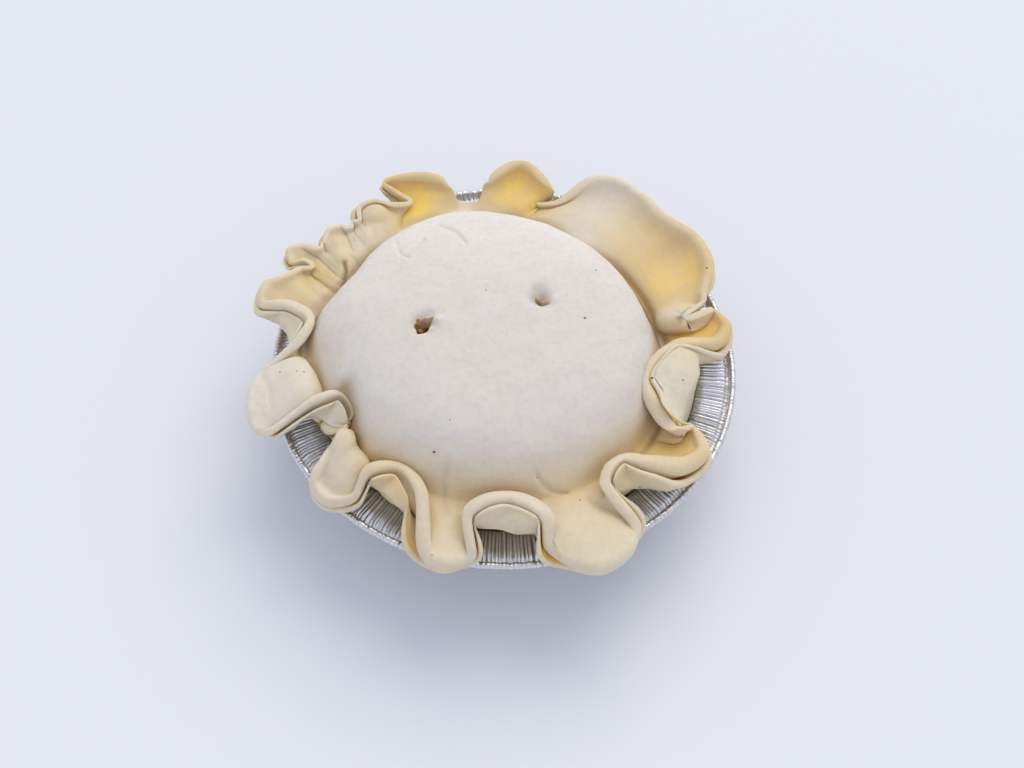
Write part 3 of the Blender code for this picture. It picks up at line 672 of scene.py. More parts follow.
def dome_height(share, back=0.0):
    """Height of the lid's middle at a share of the way from the dome's centre to its foot."""
    crown = 1 - DOME_CROWN * share**2
    shoulder = DOME_SHOULDER + (BACK_SHOULDER - DOME_SHOULDER) * back
    softness = DOME_SOFTNESS + (BACK_SOFTNESS - DOME_SOFTNESS) * back
    lift = BACK_LIFT * back * share**BACK_LIFT_FROM
    return VALLEY_HEIGHT + lift + DOME_RISE * crown * (1 - share**shoulder) ** softness


def dome_radius(bearing):
    """The radius of the dome's foot at a bearing."""
    radius = DOME_RADIUS
    for times, along, across in DOME_WAVES:
        radius = radius + along * np.cos(times * bearing) + across * np.sin(times * bearing)
    for centre, width, rise in DOME_BULGES:
        radius = radius + rise * bump(turned(bearing, centre), width)
    return radius


def dome_share(x, y):
    """The share of the way from the dome's centre to its foot, for a place in the plan."""
    along, across = x - DOME_X, y - DOME_Y
    return math.hypot(along, across) / dome_radius(math.atan2(across, along))


def dome_points(bearing, share):
    """The middle of the lid on the dome, for bearings (columns) and a share of the radius."""
    back = ease(np.sin(bearing), FRONT_END, BACK_START)
    radius = dome_radius(bearing) * share
    plan = np.array([DOME_X, DOME_Y]) + radius[:, None] * direction(bearing)
    return np.column_stack([plan, dome_height(share, back)])


def frill_points(edge, bearing, share):
    """The middle of the lid on the frill, at a share of the way from its foot to its free edge."""
    foot = dome_points(bearing, 1.0)
    up = np.array([0, 0, 1.0])
    out = np.column_stack([direction(bearing), np.zeros(len(bearing))])
    span = np.linalg.norm(edge[:, :3] - foot, axis=1)[:, None]
    folded = np.clip((edge[:, LEAN] - UPRIGHT) / FOLD_SWING, 0, 1)
    run = folded * (FOLD_REACH - np.linalg.norm(foot[:, :2], axis=1))
    foot_run = np.maximum(np.maximum(FOOT_RUN * span, FOOT_RUN_LEAST), run[:, None])
    climb = np.clip(smooth_round(edge[:, CLIMB], RUN_BLEND), 0, None)[:, None]
    steep = np.clip((climb - GENTLE) / (STEEP - GENTLE), 0, 1)
    climb_run = GENTLE_RUN + (STEEP_RUN - GENTLE_RUN) * steep
    foot_run = foot_run + (climb_run - foot_run) * ease(climb, 0, GENTLE)
    foot_run = smooth_round(foot_run[:, 0], RUN_BLEND)[:, None]
    climb = np.radians(climb)
    first = foot + (np.cos(climb) * out + np.sin(climb) * up) * foot_run
    lean = np.radians(edge[:, LEAN])[:, None]
    flat_out = edge[:, :2] / np.linalg.norm(edge[:, :2], axis=1)[:, None]
    flat_out = np.column_stack([flat_out, np.zeros(len(edge))])
    end_way = np.cos(lean) * flat_out + np.sin(lean) * up
    second = edge[:, :3] - end_way * np.maximum(EDGE_RUN * span, EDGE_RUN_LEAST)
    share = np.reshape(share, (-1, 1))
    rest = 1 - share
    return (
        rest**3 * foot
        + 3 * rest**2 * share * first
        + 3 * rest * share**2 * second
        + share**3 * edge[:, :3]
    )


def lid_half(edge, shares):
    """Half the lid's drawn thickness at the shares (rows, columns) of the sheet."""
    return LID_THICK / 2 + (edge[:, HALF] - LID_THICK / 2) * ease(shares, SWELL_FROM, SWELL_TO)


class Sheet:
    """Rows and columns of points on the middle of the lid, with the ways outwards and upwards there."""

    def __init__(self, edge, bearing, dome_shares, frill_shares):
        """The rows at the shares of the dome, then those at the shares of the frill."""
        middle, outward = [], []
        for share in dome_shares:
            near, far = max(share - NUDGE, 0.0), min(share + NUDGE, 1.0)
            middle.append(dome_points(bearing, share))
            outward.append(dome_points(bearing, far) - dome_points(bearing, near))
        for share in frill_shares:
            last = np.maximum(share, 1.0)
            near, far = np.maximum(share - NUDGE, 0.0), np.minimum(share + NUDGE, last)
            middle.append(frill_points(edge, bearing, share))
            outward.append(frill_points(edge, bearing, far) - frill_points(edge, bearing, near))
        count = len(bearing)
        shares = [np.full(count, share) for share in dome_shares]
        shares += [1 + np.broadcast_to(share, count) for share in frill_shares]
        self.middle = np.array(middle)
        self.outward = unit(np.array(outward))
        self.shares = np.array(shares)
        around = np.roll(self.middle, -1, axis=1) - np.roll(self.middle, 1, axis=1)
        if len(dome_shares):
            around[0] = around[1]
        self.normal = unit(np.cross(self.outward, around))


def room_beside(middle, normal):
    """Radius of the largest ball that rests on each point, on the side its normal gives."""
    points, ways = middle.reshape(-1, 3), normal.reshape(-1, 3)
    beside = 0.5 * (middle + np.roll(middle, 1, axis=1))
    between = 0.5 * (middle[1:] + middle[:-1])
    sheet = np.concatenate([points, beside.reshape(-1, 3), between.reshape(-1, 3)])
    room = np.empty(len(points))
    for i, (point, way) in enumerate(zip(points, ways)):
        away = sheet - point
        height = away @ way
        facing = height > SMALLEST
        room[i] = (np.sum(away[facing] ** 2, axis=1) / (2 * height[facing])).min(initial=FAR_AWAY)
    return room.reshape(middle.shape[:2])


def tapered(depth, middle):
    """The depths lowered where needed, so that they change gently along the sheet."""
    points, flat = middle.reshape(-1, 3), depth.reshape(-1)
    lowered = [(flat + TAPER * np.linalg.norm(points - point, axis=1)).min() for point in points]
    return np.reshape(lowered, depth.shape)


def coarse_fields():
    """Thickness above, share of thickness below, and the room on both sides, on the coarse grid."""
    edge = frill_edge(COARSE_COLUMNS)
    sheet = Sheet(edge, foot_bearings(edge), COARSE_DOME, COARSE_FRILL)
    over = room_beside(sheet.middle, sheet.normal)
    under = room_beside(sheet.middle, -sheet.normal)
    half = lid_half(edge, sheet.shares)
    above = tapered(np.minimum(half, ROOM_SHARE * over), sheet.middle)
    free = tapered(ROOM_SHARE * under - GAP, sheet.middle)
    squeeze = np.clip(free / (half + CRUST_THICK), THINNEST, 1.0)
    return {"above": above, "squeeze": squeeze, "over": over, "under": under}


def spread(field, shares):
    """A field known on the coarse grid, read off at the shares (rows, columns) of a fine one."""
    place = np.arange(COLUMNS) * COARSE_COLUMNS / COLUMNS
    known = np.arange(COARSE_COLUMNS + 1)
    wide = np.array([np.interp(place, known, np.append(row, row[0])) for row in field])
    wide = np.array([smooth_round(row, FIELD_BLUR) for row in wide])
    columns = [np.interp(shares[:, c], COARSE_SHARES, wide[:, c]) for c in range(COLUMNS)]
    return np.array(columns).T


def waves(points, size, seed):
    """Smooth hills and hollows about one high, of that size across, from a sum of slanting waves."""
    random = np.random.default_rng(seed)
    ways = unit(random.normal(size=(WAVE_COUNT, 3)))
    lengths = size * random.uniform(*WAVE_LENGTHS, WAVE_COUNT)
    phases = random.uniform(0, 2 * math.pi, WAVE_COUNT)
    total = np.zeros(points.shape[:-1])
    for way, length, phase in zip(ways, lengths, phases):
        total += np.sin(points @ way * (2 * math.pi / length) + phase)
    return total / math.sqrt(WAVE_COUNT / 2)


def bump(distance, width):
    """A smooth hump of height one, that wide."""
    return np.exp(-((distance / width) ** 2))


def off_point(points, x, y):
    """Distance in the plan from each point to a place, in metres."""
    return np.linalg.norm(points[..., :2] - np.array([x, y]), axis=-1)


def off_line(points, line):
    """Distance in the plan from each point to a line of short straight runs, in metres."""
    nearest = np.full(points.shape[:-1], FAR_AWAY)
    plan = points[..., :2]
    for start, end in zip(line, line[1:]):
        start, end = np.array(start), np.array(end)
        run = end - start
        share = np.clip((plan - start) @ run / (run @ run), 0, 1)
        away = np.linalg.norm(plan - start - share[..., None] * run, axis=-1)
        nearest = np.minimum(nearest, away)
    return nearest


def mesh_of(name, bm):
    """The shape as a mesh of that name."""
    mesh = bpy.data.meshes.new(name)
    bm.to_mesh(mesh)
    bm.free()
    return mesh


def placed(name, data):
    """A new object in the scene, with that mesh, light or camera."""
    thing = bpy.data.objects.new(name, data)
    bpy.context.collection.objects.link(thing)
    return thing


def drape(name, places, fields):
    """A closed skin from a flat grid: each point moves to its place, and the seam is joined.

    The first and last rows each close to a point. The fields are values for each row and column,
    kept on the mesh as attributes for its material.
    """
    rows, columns = places.shape[:2]
    for pole in (0, -1):
        places[pole] = places[pole].mean(axis=0)
    bm = bmesh.new()
    bmesh.ops.create_grid(bm, x_segments=columns, y_segments=rows - 1, size=1)
    mesh = mesh_of(name, bm)
    flat = np.empty(len(mesh.vertices) * 3)
    mesh.vertices.foreach_get("co", flat)
    flat = flat.reshape(-1, 3)
    column = np.rint((flat[:, 0] + 1) / 2 * columns).astype(int) % columns
    row = np.rint((flat[:, 1] + 1) / 2 * (rows - 1)).astype(int)
    mesh.vertices.foreach_set("co", places[row, column].reshape(-1))
    for title, values in fields.items():
        kept = mesh.attributes.new(title, "FLOAT", "POINT")
        kept.data.foreach_set("value", np.clip(values[row, column], 0, 1).astype(np.float32))
    bm = bmesh.new()
    bm.from_mesh(mesh)
    bmesh.ops.remove_doubles(bm, verts=bm.verts, dist=WELD)
    bmesh.ops.recalc_face_normals(bm, faces=bm.faces)
    if bm.calc_volume(signed=True) < 0:
        bmesh.ops.reverse_faces(bm, faces=bm.faces)
    bm.to_mesh(mesh)
    bm.free()
    mesh.shade_smooth()
    return placed(name, mesh)


def ring(radius, height, bearing):
    """A level ring of points about the tin's axis."""
    return np.column_stack([radius * direction(bearing), np.full(len(bearing), height)])


def vent_relief(points):
    """How far the dough stands off the smooth dome round the steam holes."""
    height = np.zeros(points.shape[:-1])
    for x, y, width, rise in VENT_HUMPS:
        height += rise * bump(off_point(points, x, y), width)
    return height


def hills(points, kind):
    """The height of soft hills of a kind, given as size, height and seed."""
    size, height, seed = kind
    return height * waves(points, size, seed)


def lid_relief(points):
    """How far the lid's upper side stands off its smooth shape."""
    height = hills(points, LUMPS)
    height += hills(points, RIPPLES)
    height += vent_relief(points)
    for depth, width, line in LID_LINES:
        height -= depth * bump(off_line(points, line), width)
    for _, depth, width, line in LID_SHADED_SLITS:
        height -= depth * bump(off_line(points, line), width)
    return height


def crevice(sheet, bearing):
    """How far each point lies in the crevice at the dome's foot, and how far in the painted shade
    beside it.
    """
    strength = np.zeros(len(bearing))
    for centre, width, most in CREVICES:
        away = turned(bearing, centre)
        strength = np.maximum(strength, most * np.exp(-((away / width) ** CREVICE_ENDS)))
    foot = dome_points(bearing, 1.0)
    beyond = np.linalg.norm(sheet.middle - foot, axis=-1) * np.sign(sheet.shares - 1)
    inside = strength * bump(beyond - CREVICE_OUT, CREVICE_WIDTH)
    return inside, strength * bump(beyond, SHADE_BESIDE_WIDTH)


def looks_along(column):
    """One column of the table of looks, for each column of the dough."""
    crests = crest_shares()
    values = [row[column] for row in TURN_LOOKS]
    here = np.interp(np.arange(COLUMNS) / COLUMNS, crests, values, period=1)
    return smooth_round(here, LOOKS_BLEND)


def lid_fields(sheet, room, crevices, beside):
    """Where the lid is floured and yellow, where it gets painted shade, and how grey its flour is."""
    shares, middle = sheet.shares, sheet.middle
    on_frill = ease(shares, *ON_FRILL)
    on_dome = 1 - on_frill
    near_edge = ease(shares, *NEAR_EDGE)
    back = ease(middle[..., 1], *TO_BACK)
    left = ease(-middle[..., 0], *TO_LEFT) * ease(-middle[..., 1], *LEFT_TO_FRONT)
    front = np.maximum(ease(-middle[..., 1], *TO_FRONT), LEFT_SHARE * left)
    # Low at the front and left of the dome, less flour and more yellow: painted shade, partly bare
    # dough
    low_front = front * ease(shares, *LOW_FRONT_SHARES)

    dome_flour = 1 - FOOT_LOSS * ease(shares, *FOOT_BARES) - LOW_LOSS * low_front
    flour = dome_flour * on_dome + on_frill * looks_along(LID_FLOUR)
    # Near the edge the flour evens out, partly a painted highlight on the rims
    flour = flour * (1 - EDGE_LOSS * near_edge) + EDGE_LOSS * near_edge * EDGE_FLOUR_AND_HIGHLIGHT
    # Grey flour over the dome, left off towards the back: partly painted light from behind
    grey_flour_and_shade = on_dome * (DOME_GREY - DOME_GREY * back - LOW_LESS_GREY * low_front)
    grey_flour_and_shade = grey_flour_and_shade + FRILL_GREY * on_frill

    # Hollows turn yellow: warm painted shade, partly bare dough
    hollow = (1 - ease(room, *HOLLOW_ROOM)) * (1 - ease(shares, *HOLLOW_ENDS))
    warm = looks_along(LID_YELLOW)
    yellow = on_frill * warm * (1 - EDGE_PALER * near_edge)
    yellow = yellow + (HOLLOW_YELLOW + HOLLOW_YELLOWER * warm) * hollow * (1 - near_edge)
    # Low at the front and beside the crevices the yellow is warm painted shade, partly bare dough
    yellow = yellow + LOW_YELLOW * front * ease(shares, *LOW_YELLOWS) * on_dome
    yellow = yellow + BESIDE_YELLOW * beside

    # Painted shade in crevices, narrow gaps, steam holes and slits, and beside the crevices
    narrow = 1 - ease(room, *NARROW_ROOM)
    painted_shades = [CREVICE_PAINTED_SHADE * crevices, NARROW_PAINTED_SHADE * narrow * (1 - near_edge), BESIDE_PAINTED_SHADE * beside]
    painted_shades += [HOLE_PAINTED_SHADE * bump(off_point(middle, x, y), width) for x, y, width in VENT_SHADE]
    painted_shades += [most * bump(off_line(middle, line), width) for most, _, width, line in LID_SHADED_SLITS]
    return {"flour": flour, "yellow": yellow, "painted_shade": np.max(painted_shades, axis=0), "grey_flour_and_shade": grey_flour_and_shade}


def tip_rows(sheet, above, below):
    """The rounded free edge of a sheet, from its upper side to its lower one."""
    rows = []
    extent = np.minimum(above, below)
    for turn in np.radians(TIP_TURNS):
        rise = above if turn > 0 else below
        side = (math.sin(turn) * rise)[:, None] * sheet.normal[-1]
        rows.append(sheet.middle[-1] + side + (math.cos(turn) * extent)[:, None] * sheet.outward[-1])
    return rows


def turn_places():
    """How far round the turns each column is: 0 at the first turn's crest, 1 at the second's."""
    crests = np.append(crest_shares(), crest_shares()[0] + 1)
    columns = np.arange(COLUMNS) / COLUMNS
    columns = np.where(columns < crests[0], columns + 1, columns)
    return np.interp(columns, crests, np.arange(len(TURNS) + 1))


def rolls(shares):
    """How much the lid's upper side swells into its thick rolls."""
    place = turn_places()
    height = np.zeros(shares.shape)
    for turn, width, share, share_width, rise in ROLLS:
        height += rise * bump(place - turn, width) * bump(shares - share, share_width)
    return height


def bulbs(edge, bearing):
    """The middle and the radius of each bulb."""
    place = turn_places()
    found = []
    for turn, share, radius in BULBS:
        column = np.argmin(np.abs(place - turn))
        found.append((frill_points(edge, bearing, share)[column], radius))
    return found


def bulged(points, shares, edge, bearing, growth):
    """Points of the frill pushed out of its bulbs, which are that much larger than drawn."""
    weight = ease(shares, BULB_FROM, BULB_FULL)[..., None]
    for middle, radius in bulbs(edge, bearing):
        away = points - middle
        far = np.clip(np.linalg.norm(away, axis=-1) / (radius + growth), BULB_CORE, None)
        pushed = (far**BULB_POWER + 1) ** (1 / BULB_POWER)
        points = points + weight * away * (pushed / far - 1)[..., None]
    return points


def build_lid(edge, bearing, fields):
    """The upper sheet of dough: the dome and the inner layer of the frill."""
    dome_shares = np.linspace(0, 1, DOME_LINES)
    frill_shares = np.linspace(0, 1, FRILL_LINES + 1)[1:]
    sheet = Sheet(edge, bearing, dome_shares, frill_shares)
    above = spread(fields["above"], sheet.shares) + rolls(sheet.shares)
    below = lid_half(edge, sheet.shares) * spread(fields["squeeze"], sheet.shares)
    room = spread(fields["over"], sheet.shares)
    top = sheet.middle + sheet.normal * above[..., None]
    crevices, beside = crevice(sheet, bearing)
    relief = lid_relief(top) - CREVICE_DEPTH * crevices
    top += sheet.normal * relief[..., None]
    under = sheet.middle - sheet.normal * below[..., None]
    under += sheet.normal * np.minimum(vent_relief(under), 0)[..., None]
    tip = np.array(tip_rows(sheet, above[-1] + relief[-1], below[-1]))
    on_frill = sheet.shares - 1
    top = bulged(top, on_frill, edge, bearing, 0.0)
    under = bulged(under, on_frill, edge, bearing, 0.0)
    tip = bulged(tip, np.ones(tip.shape[:2]), edge, bearing, 0.0)

    rows = DOME_LINES + FRILL_LINES
    kept = {*range(0, DOME_LINES, UNDER_DOME_STEP), *range(DOME_LINES - 1, rows, UNDER_FRILL_STEP)}
    kept = sorted(kept | {rows - 1}, reverse=True)
    places = np.array([*top, *tip, *(under[i] for i in kept)])
    looks = {}
    for title, values in lid_fields(sheet, room, crevices, beside).items():
        edge_value = [values[-1]] * len(tip)
        looks[title] = np.array([*values, *edge_value, *(values[i] for i in kept)])
    return drape("lid_dough", places, looks)


def about_z(turn):
    """A turn about the upright axis, in radians."""
    return Matrix.Rotation(turn, 3, "Z")


def set_down(bm, corners, stretch, turns, spot):
    """Stretch some corners of a shape, turn them about the origin, and move them to their spot."""
    bmesh.ops.scale(bm, vec=stretch, verts=corners)
    for turn in turns:
        bmesh.ops.rotate(bm, cent=(0, 0, 0), matrix=turn, verts=corners)
    bmesh.ops.translate(bm, vec=spot, verts=corners)


def ball(bm, fineness, radius):
    """The corners of a new ball in a shape."""
    return bmesh.ops.create_icosphere(bm, subdivisions=fineness, radius=radius)["verts"]


def vent_cutter(name, x, y, top_radius, bottom_radius, stretch, turn):
    """A ragged cone that cuts one steam hole."""
    bm = bmesh.new()
    bmesh.ops.create_cone(
        bm,
        cap_ends=True,
        segments=VENT_SIDES,
        radius1=bottom_radius,
        radius2=top_radius,
        depth=VENT_LENGTH,
    )
    for corner in bm.verts:
        around = math.atan2(corner.co.y, corner.co.x)
        ragged = 1 + sum(size * math.sin(times * around + times) for times, size in VENT_RAGGED)
        corner.co.xy *= ragged
    spot = (x, y, dome_height(dome_share(x, y)))
    set_down(bm, bm.verts, (stretch, 1, 1), [about_z(math.radians(turn))], spot)
    return placed(name, mesh_of(name, bm))


def poke_vents(lid):
    """Two steam holes, poked through the dome with a narrow tool."""
    cutters = [vent_cutter(*vent) for vent in VENTS]
    for cutter in cutters:
        cut = lid.modifiers.new(cutter.name, "BOOLEAN")
        cut.operation = "DIFFERENCE"
        cut.solver = "MANIFOLD"
        cut.object = cutter
    bpy.context.view_layer.update()
    solid = lid.evaluated_get(bpy.context.evaluated_depsgraph_get())
    opened = bpy.data.meshes.new_from_object(solid)
    lid.modifiers.clear()
    closed = lid.data
    lid.data = opened
    opened.materials.clear()
    opened.name = "lid_dough"
    bpy.data.meshes.remove(closed)
    for cutter in cutters:
        shape = cutter.data
        bpy.data.objects.remove(cutter)
        bpy.data.meshes.remove(shape)


def build_filling_lumps():
    """Small uneven lumps of filling, set in the left steam hole."""
    random = np.random.default_rng(BIT_SEED)
    bm = bmesh.new()
    for x, y, along, across, up, turn, rise in FILLING_BITS:
        made = ball(bm, BIT_FINENESS, 1)
        points = np.array([corner.co for corner in made])
        swell = 1 + BIT_BUMPS * waves(points, BIT_BUMP_SIZE, int(random.integers(BIT_SEEDS)))
        for corner, size in zip(made, swell):
            corner.co *= size
        spot = (x, y, dome_height(dome_share(x, y)) + LID_THICK / 2 + rise)
        set_down(bm, made, (along, across, up), [about_z(math.radians(turn))], spot)
    mesh = mesh_of("filling_lumps", bm)
    mesh.shade_smooth()
    return placed("filling_lumps", mesh)


def local(table):
    """The sum of a table's humps, for each column."""
    place = turn_places()
    return sum(height * bump(place - centre, width) for centre, width, height in table)


def parting(edge, shares):
    """How far the two sheets stand apart, for the rows' shares of the lower sheet."""
    apart = np.clip(edge[:, APART], 0, None) + local(PARTINGS)
    return ease(shares, PARTED_FROM, 1.0) * apart


def clear_of_tin(points):
    """Lift points that would sink into the flange or the bead."""
    reach = np.hypot(points[:, 0], points[:, 1])
    on_bead = np.clip((reach - FLANGE_FLAT_TO) / (BEAD_FROM - FLANGE_FLAT_TO), 0, 1)
    lowest = RIM_HEIGHT + RIM_CLEAR + on_bead * (BEAD_CLEAR - RIM_CLEAR)
    return np.column_stack([points[:, :2], np.maximum(points[:, 2], lowest)])


def wall_radius(height):
    """Radius of the inside of the tin's wall at a height."""
    rise = (height - BASE_CORNER) / (RIM_HEIGHT - FOIL - BASE_CORNER)
    return BASE_RADIUS - FOIL + rise * (FLANGE_INNER_RADIUS - BASE_RADIUS)


def crust_fields(sheet, room):
    """Where the lower sheet is floured and yellow, where it gets painted shade, and how grey its flour
    is.
    """
    share = sheet.shares - 1
    hollow = 1 - ease(room, *CRUST_HOLLOW_ROOM)
    flour = looks_along(CRUST_FLOUR) * ease(share, *CRUST_FLOURED)
    yellow = looks_along(CRUST_YELLOW) * (1 - CRUST_EDGE_PALER * ease(share, *CRUST_EDGE))
    # Its hollows turn yellower: warm painted shade, partly bare dough
    yellow = yellow * (CRUST_PLAIN_YELLOW + CRUST_HOLLOW_YELLOW * hollow)
    # Painted shade in narrow gaps
    painted_shade = NARROW_PAINTED_SHADE * (1 - ease(room, *NARROW_ROOM))
    grey_flour_and_shade = np.full(share.shape, CRUST_GREY)
    return {"flour": flour, "yellow": yellow, "painted_shade": painted_shade, "grey_flour_and_shade": grey_flour_and_shade}


def crust_end(edge, bearing):
    """The share of the frill at which the lower sheet ends, for each column."""
    span = np.linalg.norm(edge[:, :3] - dome_points(bearing, 1.0), axis=1)
    return 1 - edge[:, SHORT] / span + local(FLAPS) / span


def crust_side(edge, bearing, fields, lines, start, under):
    """One side of the lower sheet on the frill: its shares, its sheet, and how deep it lies."""
    shares = start + (crust_end(edge, bearing) - start) * np.linspace(0, 1, lines)[:, None]
    sheet = Sheet(edge, bearing, (), shares)
    depth = (lid_half(edge, sheet.shares) + under) * spread(fields["squeeze"], sheet.shares)
    depth += GAP + parting(edge, shares)
    return shares, sheet, depth


def evened(rows, shares):
    """The rows smoothed round the pie, less and less towards the edge."""
    smooth = [[smooth_round(line, EVEN_BLEND) for line in row.T] for row in rows]
    smooth = np.array(smooth).transpose(0, 2, 1)
    return smooth + (rows - smooth) * ease(shares, *EVEN_UP_TO)[..., None]


def crust_tip(inner, outer, outward):
    """The rounded free edge of the lower sheet, from its inner side to its outer one."""
    centre, across = 0.5 * (inner + outer), 0.5 * (inner - outer)
    extent = np.linalg.norm(across, axis=1)[:, None] * outward
    return np.array(
        [centre + math.sin(turn) * across + math.cos(turn) * extent for turn in np.radians(TIP_TURNS)]
    )


def lining(bearing):
    """The rings of the lower sheet in the tin: its upper side's, then its under side's."""
    shoulder = wall_radius(RIM_HEIGHT) - GAP
    base = BASE_RADIUS - FOIL - GAP
    floor = FOIL + GAP
    inside = (
        (0.0, floor + LINING_THICK),
        (BASE_RADIUS - LINING_THICK, floor + LINING_THICK),
        (shoulder - LINING_THICK, RIM_HEIGHT + LINING_STEP),
    )
    outside = (
        (shoulder + CORNER_STEP, RIM_HEIGHT + RIM_CLEAR),
        (shoulder - CORNER_DROP, RIM_HEIGHT - CORNER_DROP),
        (base - LINING_STEP, BASE_CORNER),
        (base - BASE_CORNER, floor),
        (0.0, floor),
    )
    return [[ring(x, z, bearing) for x, z in side] for side in (inside, outside)]


def build_crust(edge, bearing, fields):
    """The lower sheet of dough: it lines the tin, and its edge is the outer layer of the frill."""
    inner_shares, inner_sheet, inner_depth = crust_side(
        edge, bearing, fields, CRUST_INNER_LINES, CRUST_INNER_FROM, 0.0
    )
    outer_shares, outer_sheet, outer_depth = crust_side(
        edge, bearing, fields, CRUST_OUTER_LINES, CRUST_OUTER_FROM, CRUST_THICK
    )
    outer_depth += hills(outer_sheet.middle, CRUST_RIPPLES)
    inner = inner_sheet.middle - inner_sheet.normal * inner_depth[..., None]
    outer = outer_sheet.middle - outer_sheet.normal * outer_depth[..., None]
    outer = evened(outer, outer_shares)
    tip = crust_tip(inner[-1], outer[-1], outer_sheet.outward[-1])
    inner = bulged(inner, inner_shares, edge, bearing, GAP)
    tip = bulged(tip, np.ones(tip.shape[:2]), edge, bearing, 0.5 * CRUST_THICK)
    outer = bulged(outer, outer_shares, edge, bearing, CRUST_THICK)
    inside, outside = lining(bearing)
    places = [*inside, *inner, *tip, *(clear_of_tin(row) for row in outer[::-1]), *outside]

    inner_looks = crust_fields(inner_sheet, spread(fields["under"], inner_sheet.shares))
    outer_looks = crust_fields(outer_sheet, spread(fields["under"], outer_sheet.shares))
    # Between the sheets, yellow: bare dough, and warm painted shade in the gap
    between = BETWEEN_YELLOW * ease(inner_shares, *BETWEEN)
    inner_looks["yellow"] = np.maximum(inner_looks["yellow"], between)
    looks = {}
    plain = np.zeros(COLUMNS)
    for title, values in outer_looks.items():
        rows = [plain] * len(inside) + [*inner_looks[title]]
        rows += [values[-1]] * len(tip) + [*values[::-1]]
        looks[title] = np.array(rows + [plain] * len(outside))
    return drape("crust_dough", np.array(places), looks)


def crimp_pattern():
    """Per column round the tin: height (-1 to 1), painted crease shade and painted glint (0 to 1) of
    the pleats.
    """
    random = np.random.default_rng(CRIMP_SEED)
    count = CRIMPS * CRIMP_COLUMNS
    widths = random.uniform(*CRIMP_WIDTHS, CRIMPS)
    edges = np.concatenate([[0], np.cumsum(widths)]) / widths.sum()
    place = np.arange(count) / count
    index = np.clip(np.searchsorted(edges, place, side="right") - 1, 0, CRIMPS - 1)
    within = (place - edges[index]) / (edges[index + 1] - edges[index])
    tall = random.uniform(*CRIMP_HEIGHTS, CRIMPS)[index]
    crest = random.uniform(*CRIMP_CRESTS, CRIMPS)[index]
    rise = np.where(within < crest, within / crest, (1 - within) / (1 - crest))
    # Each side of each pleat gets its own painted reflection, dim or bright
    glint = random.uniform(0, 1, (CRIMPS, 2))[index, (within < crest).astype(int)]
    return tall * (2 * rise - 1), (1 - rise) ** CREASE_NARROWS, glint


def bead_row(turn):
    """The row of the rolled bead at a turn in radians."""
    x = BEAD_CENTRE + BEAD_RADIUS * math.cos(turn)
    return x, RIM_HEIGHT + BEAD_RADIUS * math.sin(turn), BEAD_SHARE, UP


def under_row(x, z, share, way):
    """The row of the tin's under side that goes with one of its upper side."""
    if z <= FOIL:
        return x, 0.0, share, way
    if way == OUTWARDS:
        return x + FOIL, z - FOIL * WALL_LOWER, share, way
    return x + FOIL * FLANGE_OUTER, z - FOIL, share, way


def build_tin():
    """The foil tin: flat base, pleated wall, crimped flange, groove, and rolled bead round the edge."""
    height, crease_shade, glint = crimp_pattern()
    count = len(height)
    bearing = 2 * math.pi * np.arange(count) / count
    bead = [bead_row(turn) for turn in np.radians(BEAD_TURNS)]
    under = [under_row(*row) for row in reversed(TIN_TOP[:UNDER_ROWS])]
    random = np.random.default_rng(DENT_SEED)
    dents = np.repeat(random.normal(0, 1, count // DENT_COLUMNS), DENT_COLUMNS)
    places, crease_shades, glints = [], [], []
    for x, z, share, way in (*TIN_TOP, *bead, *under):
        lift = CRIMP_HEIGHT * share * height
        if share == BEAD_SHARE:
            lift = lift + BEAD_DENTS * dents
        outward, upward = (lift, 0 * lift) if way == OUTWARDS else (0 * lift, lift)
        plan = direction(bearing) * (x + outward)[:, None]
        places.append(np.column_stack([plan, z + upward]))
        crease_shades.append(crease_shade * min(1, share * CREASE_GAIN))
        glints.append(glint * min(1, share * GLINT_GAIN))
    looks = {"crease_shade": np.array(crease_shades), "glint": np.array(glints)}
    return drape("foil_shell", np.array(places), looks)


def shade(name):
    """A new material, its node tree, and its shader."""
    made = bpy.data.materials.new(name)
    made.use_nodes = True
    return made, made.node_tree, made.node_tree.nodes["Principled BSDF"]


def feed(tree, socket, value):
    """Give a socket a value, or link another node's output to it."""
    if isinstance(value, bpy.types.NodeSocket):
        tree.links.new(value, socket)
    else:
        socket.default_value = value


def add(tree, kind, inputs=None, **settings):
    """A node with its settings, and its inputs given as values or as other nodes' outputs."""
    node = tree.nodes.new(kind)
    for key, value in settings.items():
        setattr(node, key, value)
    for key, value in (inputs or {}).items():
        feed(tree, node.inputs[key], value)
    return node


def mix(tree, first, second, factor):
    """Two colours mixed."""
    node = add(tree, "ShaderNodeMix", data_type="RGBA", clamp_factor=True)
    for index, value in ((MIX_FIRST, first), (MIX_SECOND, second), (MIX_FACTOR, factor)):
        feed(tree, node.inputs[index], value)
    return node.outputs[MIX_RESULT]


def maths(tree, operation, first, second, clamp=False):
    """Two values combined, and held from 0 to 1 where asked."""
    node = add(tree, "ShaderNodeMath", operation=operation, use_clamp=clamp)
    for index, value in enumerate((first, second)):
        feed(tree, node.inputs[index], value)
    return node.outputs[0]


def remap(tree, value, low, high, bottom=0.0, top=1.0):
    """A value stretched from one range to another, and held inside it."""
    limits = {"From Min": low, "From Max": high, "To Min": bottom, "To Max": top}
    return add(tree, "ShaderNodeMapRange", {"Value": value, **limits}).outputs["Result"]


def noise(tree, place, kind):
    """A noise of a kind, given as scale and detail."""
    scale, detail = kind
    inputs = {"Vector": place, "Scale": scale, "Detail": detail}
    return add(tree, "ShaderNodeTexNoise", inputs).outputs["Fac"]


def attribute(tree, title):
    """The values that a piece's points hold under that title."""
    return add(tree, "ShaderNodeAttribute", attribute_name=title).outputs["Fac"]


